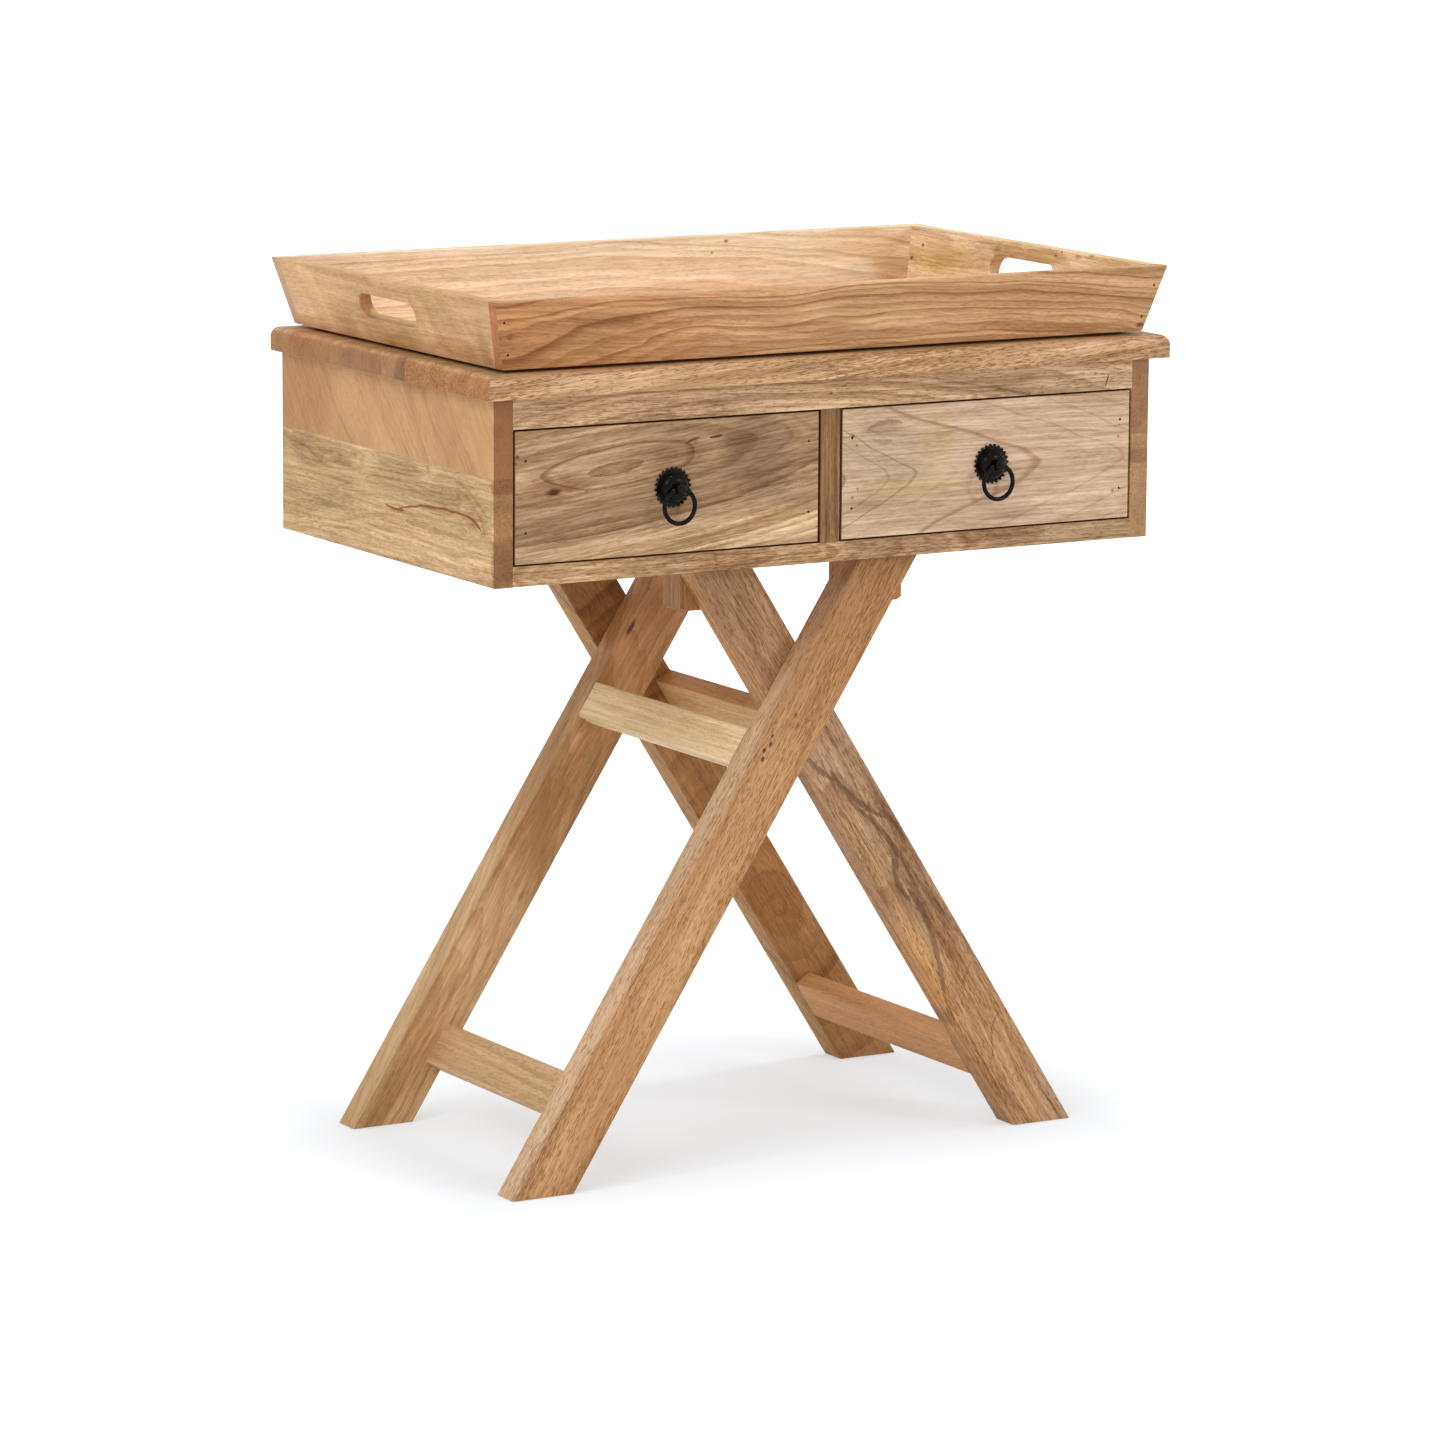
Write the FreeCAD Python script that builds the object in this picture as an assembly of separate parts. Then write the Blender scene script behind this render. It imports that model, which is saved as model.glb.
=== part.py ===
import FreeCAD
import Part
import math
import os

# A side table: a shallow box with two drawers on two crossed pairs of legs, and a loose serving tray.
# Lengths are millimetres. +Z is up and the drawers open towards -Y.
# The origin is on the floor, under the middle of the whole outline.

# Box under the top
box_width = 640.0
box_depth = 385.6
box_height = 156.0
box_underside_height = 521.0
panel_thickness = 18.0
side_lower_board_height = 90.0
top_rail_height = 26.5
bottom_rail_height = 17.0
stile_width = 19.0
floor_thickness = 9.0
floor_groove_depth = 6.0
kicker_width = 30.0
stop_width = 40.0
stop_depth = 20.0
stop_height = 20.0

# Top, three boards glued edge to edge
top_thickness = 20.0
top_side_overhang = 11.0
top_front_overhang = 14.3
top_back_inset = 1.0
top_front_board_width = 149.0
top_middle_board_width = 42.0
top_edge_radius = 8.0

# Drawers
face_thickness = 16.0
face_side_gap = 2.1
face_bottom_gap = 1.2
face_top_gap = 1.3
drawer_side_thickness = 15.0
drawer_side_height = 100.0
drawer_back_thickness = 12.0
drawer_bottom_thickness = 5.0
drawer_bottom_raise = 9.0
drawer_groove_depth = 5.0
kicker_gap = 1.5

# Drawer pulls
pull_shift = 3.5
rosette_radius = 17.2
rosette_valley_radius = 15.2
rosette_thickness = 1.5
scallop_count = 24
bell_radius = 13.8
bell_rim_height = 1.4
dome_radius = 12.8
dome_height = 7.8
nose_radius = 4.6
nose_reach = 17.0
ring_wire_radius = 1.9
ring_mean_radius = 14.4
ring_reach = 12.3
stud_radius = 2.5
nut_flats = 8.0
nut_thickness = 4.0
washer_radius = 6.0
washer_thickness = 1.0
stud_end = 2.0

# Legs, in two leaning frames that cross
leg_width = 49.3
leg_thickness = 28.8
leg_lean_degrees = 32.6
leg_top_spread = 152.2
crossing_shift = -5.0
upper_bar_width = 34.0
upper_bar_thickness = 17.5
upper_bar_drop = 39.8
lower_bar_width = 39.5
lower_bar_thickness = 17.0
lower_bar_height = 68.5

# Blocks that carry the leg tops
block_width = 55.0
block_drop = 46.0
left_block_shift = 7.4
right_block_shift = 1.6
block_chamfer = 3.0

# Serving tray with splayed sides
tray_top_length = 653.0
tray_top_depth = 407.0
tray_splay = 15.0
tray_board_height = 57.0
tray_board_thickness = 12.0
tray_floor_thickness = 9.0
tray_floor_drop = 2.7
tray_back_shift = 3.3
slot_length = 100.0
slot_height = 21.0
slot_below_top = 26.0

# Fastenings
dowel_radius = 3.0
dowel_length = 28.0
dowel_bite = 12.0
bar_dowel_radius = 4.0
bar_dowel_length = 28.0
crossing_dowel_spacing = 24.0
nail_radius = 1.1
nail_length = 36.0
nail_recess = 0.4
tray_nail_length = 34.0
screw_radius = 2.0
screw_head_radius = 4.0
screw_head_height = 2.6
block_screw_length = 35.0
leg_screw_length = 45.0
kicker_screw_bite = 13.0

# Clearances and edge rounding
slide_gap = 0.3
rest_gap = 0.3
joint_clearance = 0.1
hole_clearance = 0.05
hole_end_room = 0.5
ring_clearance = 0.3
edge_radius = 1.5
fine_edge_radius = 0.8
cut_overrun = 5.0
match_tolerance = 0.01

# Shares of the piece that carries them
nail_height_shares = (0.235, 0.775)
nail_inset_share = 0.64
back_nail_height_shares = (0.25, 0.8)
tray_nail_height_shares = (0.22, 0.7)
bar_dowel_share = 0.22
side_dowel_shares = (0.2, 0.78)
back_dowel_shares = (0.25, 0.72)
partition_dowel_shares = (0.25, 0.75)
block_screw_shares = (0.26, 0.8)
leg_screw_shares = (0.3, 0.74)
kicker_screw_shares = (0.12, 0.5, 0.88)
dome_middle_shares = (0.74, 0.66)
nose_round_share = 0.55
edge_share_of_wall = 0.25

# Heights
box_top_height = box_underside_height + box_height
floor_top_height = box_underside_height + bottom_rail_height
floor_underside_height = floor_top_height - floor_thickness
top_rail_underside = box_top_height - top_rail_height
side_joint_height = box_underside_height + side_lower_board_height
table_top_height = box_top_height + top_thickness
tray_floor_underside = table_top_height + rest_gap
tray_boards_underside = tray_floor_underside + tray_floor_drop
tray_top_height = tray_boards_underside + tray_board_height
drawer_side_low = floor_top_height + slide_gap
drawer_side_high = drawer_side_low + drawer_side_height
kicker_underside = drawer_side_high + kicker_gap
face_low = floor_top_height + face_bottom_gap
face_high = top_rail_underside - face_top_gap
pull_height = (face_low + face_high) / 2
drawer_bottom_low = drawer_side_low + drawer_bottom_raise
drawer_bottom_high = drawer_bottom_low + drawer_bottom_thickness
block_underside = box_underside_height - block_drop

# Depths, with the middle of the whole outline at zero
top_depth = top_front_overhang + box_depth - top_back_inset
tray_middle_from_front = top_depth / 2 - top_front_overhang + tray_back_shift
tray_front_reach = tray_top_depth / 2 - tray_middle_from_front
tray_back_reach = tray_top_depth / 2 + tray_middle_from_front
front_reach = max(nose_reach, top_front_overhang, tray_front_reach)
back_reach = max(box_depth, tray_back_reach)
front_y = (front_reach - back_reach) / 2
back_y = front_y + box_depth
rail_back_y = front_y + panel_thickness
panel_front_y = back_y - panel_thickness
top_front_y = front_y - top_front_overhang
top_back_y = back_y - top_back_inset
face_back_y = front_y + face_thickness
drawer_back_y = panel_front_y - stop_depth - slide_gap
drawer_back_front_y = drawer_back_y - drawer_back_thickness
tray_middle_y = front_y + tray_middle_from_front
floor_front_y = rail_back_y - floor_groove_depth
floor_back_y = panel_front_y + floor_groove_depth
rail_dowel_y = front_y + (panel_thickness - floor_groove_depth) / 2
back_dowel_y = back_y - (panel_thickness - floor_groove_depth) / 2

# Sides of the table, as the sign of their X
left = -1
right = 1

# Widths
box_half = box_width / 2
inner_half = box_half - panel_thickness
stile_half = stile_width / 2
partition_half = panel_thickness / 2
top_half = box_half + top_side_overhang
floor_half = inner_half + floor_groove_depth

# Leaning frames
lean = math.radians(leg_lean_degrees)
lean_slope = math.tan(lean)
leg_half_cut = leg_width / 2 / math.cos(lean)
crossing_height = box_underside_height - leg_top_spread / 2 / lean_slope
upper_bar_height = crossing_height - upper_bar_drop

# Serving tray
splay_slope = tray_splay / tray_board_height
splay_angle = math.atan(splay_slope)
tray_wall = tray_board_thickness / math.cos(splay_angle)

# Ring and its hole in the nose of the knob
ring_y = front_y - ring_reach
ring_sag = ring_mean_radius - math.sqrt(ring_mean_radius ** 2 - nose_radius ** 2)
ring_hole_radius = ring_wire_radius + ring_sag + ring_clearance

# Wavy rim of the pull's plate, where its waves cross the middle line
rosette_middle_radius = (rosette_radius + rosette_valley_radius) / 2

UP = FreeCAD.Vector(0, 0, 1)
BACK = FreeCAD.Vector(0, 1, 0)
RIGHT = FreeCAD.Vector(1, 0, 0)


def vector(x, y, z):
    return FreeCAD.Vector(x, y, z)


def block(low, high):
    """A box between two opposite corners."""
    return Part.makeBox(high[0] - low[0], high[1] - low[1], high[2] - low[2], vector(*low))


def face_of(points):
    """A flat face inside a closed outline."""
    return Part.Face(Part.makePolygon(list(points) + [points[0]]))


def edges_in_plane(shape, axis, place):
    """The edges that lie flat in the plane where the coordinate of that axis has that value."""
    found = []
    for edge in shape.Edges:
        bounds = edge.BoundBox
        low = (bounds.XMin, bounds.YMin, bounds.ZMin)[axis]
        high = (bounds.XMax, bounds.YMax, bounds.ZMax)[axis]
        if abs(low - place) < match_tolerance and abs(high - place) < match_tolerance:
            found.append(edge)
    return found


def shared_edges(shape, first, second):
    """The edges that lie in both of two planes, each given as (axis, place)."""
    second_edges = edges_in_plane(shape, *second)
    return [edge for edge in edges_in_plane(shape, *first) if any(edge.isSame(e) for e in second_edges)]


def eased(shape, radius, edges, wall):
    """The shape with those edges rounded, and the radius kept well inside the wall."""
    return shape.makeFillet(min(radius, wall * edge_share_of_wall), edges)


def eased_front(shape, place, radius, wall):
    """The shape with all edges of its front face rounded."""
    return eased(shape, radius, edges_in_plane(shape, 1, place), wall)


def rod(start, end, radius):
    """A round rod between two points."""
    along = end - start
    return Part.makeCylinder(radius, along.Length, start, along)


def drilled(shape, lines, radius):
    """The shape with a round hole around each line, a little wider and longer than what goes in."""
    for start, end in lines:
        along = (end - start).normalize() * hole_end_room
        shape = shape.cut(rod(start - along, end + along, radius + hole_clearance))
    return shape


def rods(lines, radius):
    return [rod(start, end, radius) for start, end in lines]


def screw(line, grown):
    """A countersunk screw from the centre of its head to its tip, or its hole if grown is a clearance."""
    start, end = line
    along = (end - start).normalize()
    head = Part.makeCone(
        screw_head_radius + grown, screw_radius + grown, screw_head_height + grown, start, along
    )
    return head.fuse(rod(start, end + along * grown, screw_radius + grown)).removeSplitter()


def screws(lines):
    return [screw(line, 0) for line in lines]


def screwed(shape, lines):
    """The shape with holes for countersunk screws."""
    for line in lines:
        shape = shape.cut(screw(line, joint_clearance))
    return shape


def at_share(low, high, share):
    return low + (high - low) * share


# Dowels of the box, each a line from end to end


def rail_end_dowels(height):
    """One dowel in each end of a front rail, into the side panels."""
    lines = []
    for side in (left, right):
        outer = vector(side * (inner_half + dowel_bite), rail_dowel_y, height)
        lines.append((outer, outer - RIGHT * side * dowel_length))
    return lines


def top_rail_dowels():
    return rail_end_dowels((top_rail_underside + box_top_height) / 2)


def bottom_rail_dowels():
    return rail_end_dowels((box_underside_height + floor_top_height) / 2)


def stile_dowels():
    """One dowel up into the top rail and one down into the bottom rail."""
    upper = vector(0, rail_dowel_y, top_rail_underside + dowel_bite)
    lower = vector(0, rail_dowel_y, floor_top_height - dowel_bite)
    return [(upper, upper - UP * dowel_length), (lower, lower + UP * dowel_length)]


def partition_dowels():
    """Two dowels that hold the partition behind the stile."""
    lines = []
    for share in partition_dowel_shares:
        height = at_share(floor_top_height, top_rail_underside, share)
        front = vector(0, rail_back_y - dowel_bite, height)
        lines.append((front, front + BACK * dowel_length))
    return lines


def back_panel_dowels():
    """Two dowels in each end of the back panel, into the side panels."""
    lines = []
    for side in (left, right):
        for share in back_dowel_shares:
            height = at_share(box_underside_height, box_top_height, share)
            outer = vector(side * (inner_half + dowel_bite), back_dowel_y, height)
            lines.append((outer, outer - RIGHT * side * dowel_length))
    return lines


def side_top_dowels():
    """Two dowels from the top of each side panel up into the top boards."""
    lines = []
    for side in (left, right):
        for share in side_dowel_shares:
            depth = at_share(front_y, back_y, share)
            upper = vector(side * (box_half - panel_thickness / 2), depth, box_top_height + dowel_bite)
            lines.append((upper, upper - UP * dowel_length))
    return lines


def all_box_dowels():
    return (
        top_rail_dowels()
        + bottom_rail_dowels()
        + stile_dowels()
        + partition_dowels()
        + back_panel_dowels()
        + side_top_dowels()
    )


# Leaning legs, named by the side that their foot is on, which is across from their top


def leg_middle(foot, height):
    """Where the middle line of a leg is at that height."""
    return crossing_shift - foot * (height - crossing_height) * lean_slope


def layer(foot, rear):
    """The front and back of a leg. In each pair the leg with its foot at the left stands in front."""
    step = 0 if foot == left else leg_thickness
    low = (panel_front_y - 2 * leg_thickness if rear else rail_back_y) + step
    return low, low + leg_thickness


def lean_point(foot, across, along):
    """A point of a leg's side view, across from its upper edge and along from the crossing."""
    down = across - leg_width / 2
    x = crossing_shift - foot * (along * math.sin(lean) + down * math.cos(lean))
    z = crossing_height + along * math.cos(lean) - down * math.sin(lean)
    return x, z


def along_at_height(across, height):
    """How far along the leg from the crossing a point that far across has that height."""
    down = across - leg_width / 2
    return (height - crossing_height + down * math.sin(lean)) / math.cos(lean)


def upper_bar_section():
    """Across from, across to, and the place along the leg of the middle of the upper bar."""
    return 0, upper_bar_thickness, along_at_height(0, upper_bar_height)


def lower_bar_section():
    """The same three numbers for the lower bar, which is flush with the leg's lower edge."""
    across = leg_width - lower_bar_thickness
    return across, leg_width, along_at_height(across, lower_bar_height)


def bar_span(foot):
    """The front and back end of the bars between a front leg and its rear leg."""
    return layer(foot, False)[1], layer(foot, True)[0]


def leg_bar(foot, section, width):
    """A cross bar of a leaning frame."""
    near, far, middle = section
    low_y, high_y = bar_span(foot)
    corners = [
        lean_point(foot, near, middle - width / 2),
        lean_point(foot, near, middle + width / 2),
        lean_point(foot, far, middle + width / 2),
        lean_point(foot, far, middle - width / 2),
    ]
    outline = face_of([vector(x, low_y, z) for x, z in corners])
    bar = outline.extrude(BACK * (high_y - low_y))
    long_edges = [edge for edge in bar.Edges if edge.BoundBox.YLength > width]
    bar = eased(bar, edge_radius, long_edges, far - near)
    return drilled(bar, bar_dowels_of(foot, section, width), bar_dowel_radius)


def bar_dowels_of(foot, section, width):
    """Two dowels in each end of a cross bar."""
    near, far, middle = section
    half = BACK * (bar_dowel_length / 2)
    lines = []
    for end in bar_span(foot):
        for direction in (-1, 1):
            x, z = lean_point(foot, (near + far) / 2, middle + direction * width * bar_dowel_share)
            lines.append((vector(x, end, z) - half, vector(x, end, z) + half))
    return lines


def all_bar_dowels():
    lines = []
    for foot in (left, right):
        lines += bar_dowels_of(foot, upper_bar_section(), upper_bar_width)
        lines += bar_dowels_of(foot, lower_bar_section(), lower_bar_width)
    return lines


def crossing_dowels():
    """Two dowels where the front legs cross and two where the rear legs cross."""
    half = BACK * (bar_dowel_length / 2)
    lines = []
    for rear in (False, True):
        for direction in (-1, 1):
            x = crossing_shift + direction * crossing_dowel_spacing / 2
            middle = vector(x, layer(left, rear)[1], crossing_height)
            lines.append((middle - half, middle + half))
    return lines


def leg(foot, rear):
    """A leaning leg, cut level at the floor and under the box, with its dowel and screw holes."""
    low_y, high_y = layer(foot, rear)
    foot_x = leg_middle(foot, 0)
    head_x = leg_middle(foot, floor_underside_height)
    outline = face_of(
        [
            vector(foot_x - leg_half_cut, low_y, 0),
            vector(foot_x + leg_half_cut, low_y, 0),
            vector(head_x + leg_half_cut, low_y, floor_underside_height),
            vector(head_x - leg_half_cut, low_y, floor_underside_height),
        ]
    )
    body = outline.extrude(BACK * leg_thickness)
    long_edges = [edge for edge in body.Edges if edge.BoundBox.ZLength > leg_width]
    body = eased(body, edge_radius, long_edges, leg_thickness)
    body = drilled(body, all_bar_dowels() + crossing_dowels(), bar_dowel_radius)
    return screwed(body, leg_screws_of(foot, rear))


# Blocks on the free faces of the leg tops


def block_is_behind(foot, rear):
    """The rear leg that lies against the back panel has its block in front, the others behind."""
    return not rear or foot == left


def block_span(foot, rear):
    """The front and back of the block."""
    low, high = layer(foot, rear)
    if block_is_behind(foot, rear):
        return high, high + leg_thickness
    return low - leg_thickness, low


def block_middle(foot):
    """The block's middle, a little beside the top of its leg."""
    shift = right_block_shift if foot == left else left_block_shift
    return leg_middle(foot, box_underside_height) + shift


def leg_screws_of(foot, rear):
    """Two screws through the block into the leg."""
    low, high = block_span(foot, rear)
    behind = block_is_behind(foot, rear)
    head = high if behind else low
    into = BACK * (-leg_screw_length if behind else leg_screw_length)
    lines = []
    for share in leg_screw_shares:
        height = at_share(block_underside, floor_underside_height, share)
        middle = leg_middle(foot, height)
        low_x = max(middle - leg_half_cut, block_middle(foot) - block_width / 2)
        high_x = min(middle + leg_half_cut, block_middle(foot) + block_width / 2)
        start = vector((low_x + high_x) / 2, head, height)
        lines.append((start, start + into))
    return lines


def block_screws_of(foot, rear):
    """Two screws down through the floor of the box into the block."""
    low, high = block_span(foot, rear)
    edge = block_middle(foot) - block_width / 2
    lines = []
    for share in block_screw_shares:
        start = vector(edge + block_width * share, (low + high) / 2, floor_top_height)
        lines.append((start, start - UP * block_screw_length))
    return lines


def corners():
    """Every leg, as the side its foot is on and whether it is at the rear."""
    return [(foot, rear) for foot in (left, right) for rear in (False, True)]


def all_leg_screws():
    return [line for foot, rear in corners() for line in leg_screws_of(foot, rear)]


def all_block_screws():
    return [line for foot, rear in corners() for line in block_screws_of(foot, rear)]


def leg_block(foot, rear):
    low, high = block_span(foot, rear)
    middle = block_middle(foot)
    body = block(
        (middle - block_width / 2, low, block_underside),
        (middle + block_width / 2, high, floor_underside_height),
    )
    body = body.makeChamfer(block_chamfer, edges_in_plane(body, 2, block_underside))
    return screwed(body, leg_screws_of(foot, rear) + block_screws_of(foot, rear))


# Box


def floor_space():
    """The room that the floor takes in its grooves."""
    return block(
        (-floor_half - joint_clearance, floor_front_y - joint_clearance, floor_underside_height),
        (floor_half + joint_clearance, floor_back_y + joint_clearance, floor_top_height),
    )


def side_board(side, low, high):
    """One of the two boards of a side panel."""
    outer = side * box_half
    inner = side * inner_half
    board = block((min(outer, inner), front_y, low), (max(outer, inner), back_y, high))
    corners = shared_edges(board, (0, outer), (1, front_y))
    corners += shared_edges(board, (0, outer), (1, back_y))
    corners += shared_edges(board, (0, outer), (2, box_underside_height))
    board = eased(board, edge_radius, corners, panel_thickness)
    board = board.cut(floor_space())
    lines = top_rail_dowels() + bottom_rail_dowels() + back_panel_dowels() + side_top_dowels()
    return drilled(board, lines, dowel_radius)


def top_rail():
    rail = block((-inner_half, front_y, top_rail_underside), (inner_half, rail_back_y, box_top_height))
    edges = shared_edges(rail, (1, front_y), (2, top_rail_underside))
    rail = eased(rail, fine_edge_radius, edges, panel_thickness)
    return drilled(rail, top_rail_dowels() + stile_dowels(), dowel_radius)


def bottom_rail():
    rail = block((-inner_half, front_y, box_underside_height), (inner_half, rail_back_y, floor_top_height))
    edges = shared_edges(rail, (1, front_y), (2, box_underside_height))
    edges += shared_edges(rail, (1, front_y), (2, floor_top_height))
    rail = eased(rail, fine_edge_radius, edges, panel_thickness)
    rail = rail.cut(floor_space())
    return drilled(rail, bottom_rail_dowels() + stile_dowels(), dowel_radius)


def centre_stile():
    stile = block((-stile_half, front_y, floor_top_height), (stile_half, rail_back_y, top_rail_underside))
    edges = shared_edges(stile, (1, front_y), (0, -stile_half))
    edges += shared_edges(stile, (1, front_y), (0, stile_half))
    stile = eased(stile, fine_edge_radius, edges, stile_width)
    return drilled(stile, stile_dowels() + partition_dowels(), dowel_radius)


def centre_partition():
    panel = block(
        (-partition_half, rail_back_y, floor_top_height), (partition_half, panel_front_y, box_top_height)
    )
    return drilled(panel, partition_dowels(), dowel_radius)


def back_panel():
    panel = block((-inner_half, panel_front_y, box_underside_height), (inner_half, back_y, box_top_height))
    panel = panel.cut(floor_space())
    return drilled(panel, back_panel_dowels(), dowel_radius)


def box_floor():
    panel = block(
        (-floor_half, floor_front_y, floor_underside_height), (floor_half, floor_back_y, floor_top_height)
    )
    return screwed(panel, all_block_screws())


def top_board(low_y, high_y):
    """One board of the top, with its upper edges rounded where they show."""
    board = block((-top_half, low_y, box_top_height), (top_half, high_y, table_top_height))
    upper = shared_edges(board, (2, table_top_height), (0, -top_half))
    upper += shared_edges(board, (2, table_top_height), (0, top_half))
    lower = shared_edges(board, (2, box_top_height), (0, -top_half))
    lower += shared_edges(board, (2, box_top_height), (0, top_half))
    if low_y == top_front_y:
        upper += shared_edges(board, (2, table_top_height), (1, top_front_y))
        lower += shared_edges(board, (2, box_top_height), (1, top_front_y))
    board = board.makeFillet(min(top_edge_radius, top_thickness / 2), upper)
    board = eased(board, fine_edge_radius, same_edges(board, lower), top_thickness)
    board = drilled(board, side_top_dowels(), dowel_radius)
    return screwed(board, kicker_screws())


def same_edges(shape, edges):
    """The edges of a changed shape that lie where the given edges do."""
    found = []
    for edge in edges:
        centre = edge.BoundBox.Center
        found += [e for e in shape.Edges if (e.BoundBox.Center - centre).Length < match_tolerance]
    return found


def top_boards():
    front_joint = top_front_y + top_front_board_width
    back_joint = front_joint + top_middle_board_width
    return {
        "top_front_board": top_board(top_front_y, front_joint),
        "top_middle_board": top_board(front_joint, back_joint),
        "top_back_board": top_board(back_joint, top_back_y),
    }


def opening_span(side):
    """The left and right of the opening for a drawer."""
    near = side * stile_half
    far = side * inner_half
    return min(near, far), max(near, far)


def opening_middle(side):
    return sum(opening_span(side)) / 2


def kicker_screws():
    """Three screws up through each kicker strip into the top."""
    lines = []
    for side in (left, right):
        for share in kicker_screw_shares:
            depth = at_share(rail_back_y, panel_front_y, share)
            start = vector(opening_middle(side), depth, kicker_underside)
            lines.append((start, vector(start.x, depth, box_top_height + kicker_screw_bite)))
    return lines


def kicker(side):
    """A strip under the top that keeps an open drawer from tipping."""
    middle = opening_middle(side)
    strip = block(
        (middle - kicker_width / 2, rail_back_y, kicker_underside),
        (middle + kicker_width / 2, panel_front_y, box_top_height),
    )
    return screwed(strip, kicker_screws())


def drawer_stop(side):
    """A block on the floor of the box that a closed drawer meets."""
    middle = opening_middle(side)
    return block(
        (middle - stop_width / 2, panel_front_y - stop_depth, floor_top_height),
        (middle + stop_width / 2, panel_front_y, floor_top_height + stop_height),
    )


# Drawers


def face_span(side):
    low, high = opening_span(side)
    return low + face_side_gap, high - face_side_gap


def drawer_bottom_space(side):
    """The room that the bottom takes in its grooves."""
    low, high = face_span(side)
    groove = drawer_groove_depth + joint_clearance
    inset = drawer_side_thickness - groove
    return block(
        (low + inset, face_back_y - groove, drawer_bottom_low - joint_clearance),
        (high - inset, drawer_back_y + cut_overrun, drawer_bottom_high),
    )


def face_nails(side):
    """Nails through the face into the front ends of the drawer's sides."""
    low, high = face_span(side)
    inset = drawer_side_thickness * nail_inset_share
    lines = []
    for x in (low + inset, high - inset):
        for share in nail_height_shares:
            head = vector(x, front_y + nail_recess, at_share(face_low, face_high, share))
            lines.append((head, head + BACK * nail_length))
    return lines


def back_nails(side):
    """Nails through the sides into the ends of the drawer's back."""
    low, high = face_span(side)
    depth = drawer_back_y - drawer_back_thickness / 2
    lines = []
    for outer, direction in ((low, 1), (high, -1)):
        for share in back_nail_height_shares:
            height = at_share(drawer_bottom_high, drawer_side_high, share)
            head = vector(outer + direction * nail_recess, depth, height)
            lines.append((head, head + RIGHT * direction * nail_length))
    return lines


def nailed(shape, lines):
    """The shape with nail holes that stay open where a head is set below the surface."""
    for start, end in lines:
        along = (end - start).normalize()
        mouth = start - along * cut_overrun
        bottom = end + along * hole_end_room
        shape = shape.cut(rod(mouth, bottom, nail_radius + hole_clearance))
    return shape


def pull_x(side):
    """Where a pull stands across the table, a little right of the middle of its drawer."""
    return opening_middle(side) + pull_shift


def stud_line(side):
    """The middle line of the hole for the pull's stud, through rosette, face, washer and nut."""
    x = pull_x(side)
    end = face_back_y + washer_thickness + nut_thickness + stud_end
    return vector(x, front_y - rosette_thickness, pull_height), vector(x, end, pull_height)


def drawer_face(side):
    low, high = face_span(side)
    board = block((low, front_y, face_low), (high, face_back_y, face_high))
    board = eased_front(board, front_y, fine_edge_radius, face_thickness)
    board = board.cut(drawer_bottom_space(side))
    board = nailed(board, face_nails(side))
    return drilled(board, [stud_line(side)], stud_radius)


def drawer_side(side, outer, direction):
    """A side of a drawer, from its outer face inwards."""
    inner = outer + direction * drawer_side_thickness
    board = block(
        (min(outer, inner), face_back_y, drawer_side_low),
        (max(outer, inner), drawer_back_y, drawer_side_high),
    )
    edges = shared_edges(board, (2, drawer_side_high), (0, outer))
    edges += shared_edges(board, (2, drawer_side_high), (0, inner))
    board = eased(board, fine_edge_radius, edges, drawer_side_thickness)
    board = board.cut(drawer_bottom_space(side))
    return nailed(board, face_nails(side) + back_nails(side))


def drawer_back(side):
    low, high = face_span(side)
    board = block(
        (low + drawer_side_thickness, drawer_back_front_y, drawer_bottom_high),
        (high - drawer_side_thickness, drawer_back_y, drawer_side_high),
    )
    return nailed(board, back_nails(side))


def drawer_bottom(side):
    low, high = face_span(side)
    inset = drawer_side_thickness - drawer_groove_depth
    return block(
        (low + inset, face_back_y - drawer_groove_depth, drawer_bottom_low),
        (high - inset, drawer_back_y, drawer_bottom_high),
    )


# Pulls


def rosette(side):
    """A thin round plate with a wavy rim: an arc out and an arc in for each wave."""
    start, end = stud_line(side)
    arcs = []
    for number in range(2 * scallop_count):
        turning = rosette_valley_radius if number % 2 else rosette_radius
        points = []
        for step, radius in ((0, rosette_middle_radius), (0.5, turning), (1, rosette_middle_radius)):
            angle = math.pi * (number + step) / scallop_count
            points.append(start + RIGHT * radius * math.cos(angle) + UP * radius * math.sin(angle))
        arcs.append(Part.Arc(*points).toShape())
    plate = Part.Face(Part.Wire(arcs)).extrude(BACK * rosette_thickness)
    return drilled(plate, [(start, end)], stud_radius)


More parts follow.
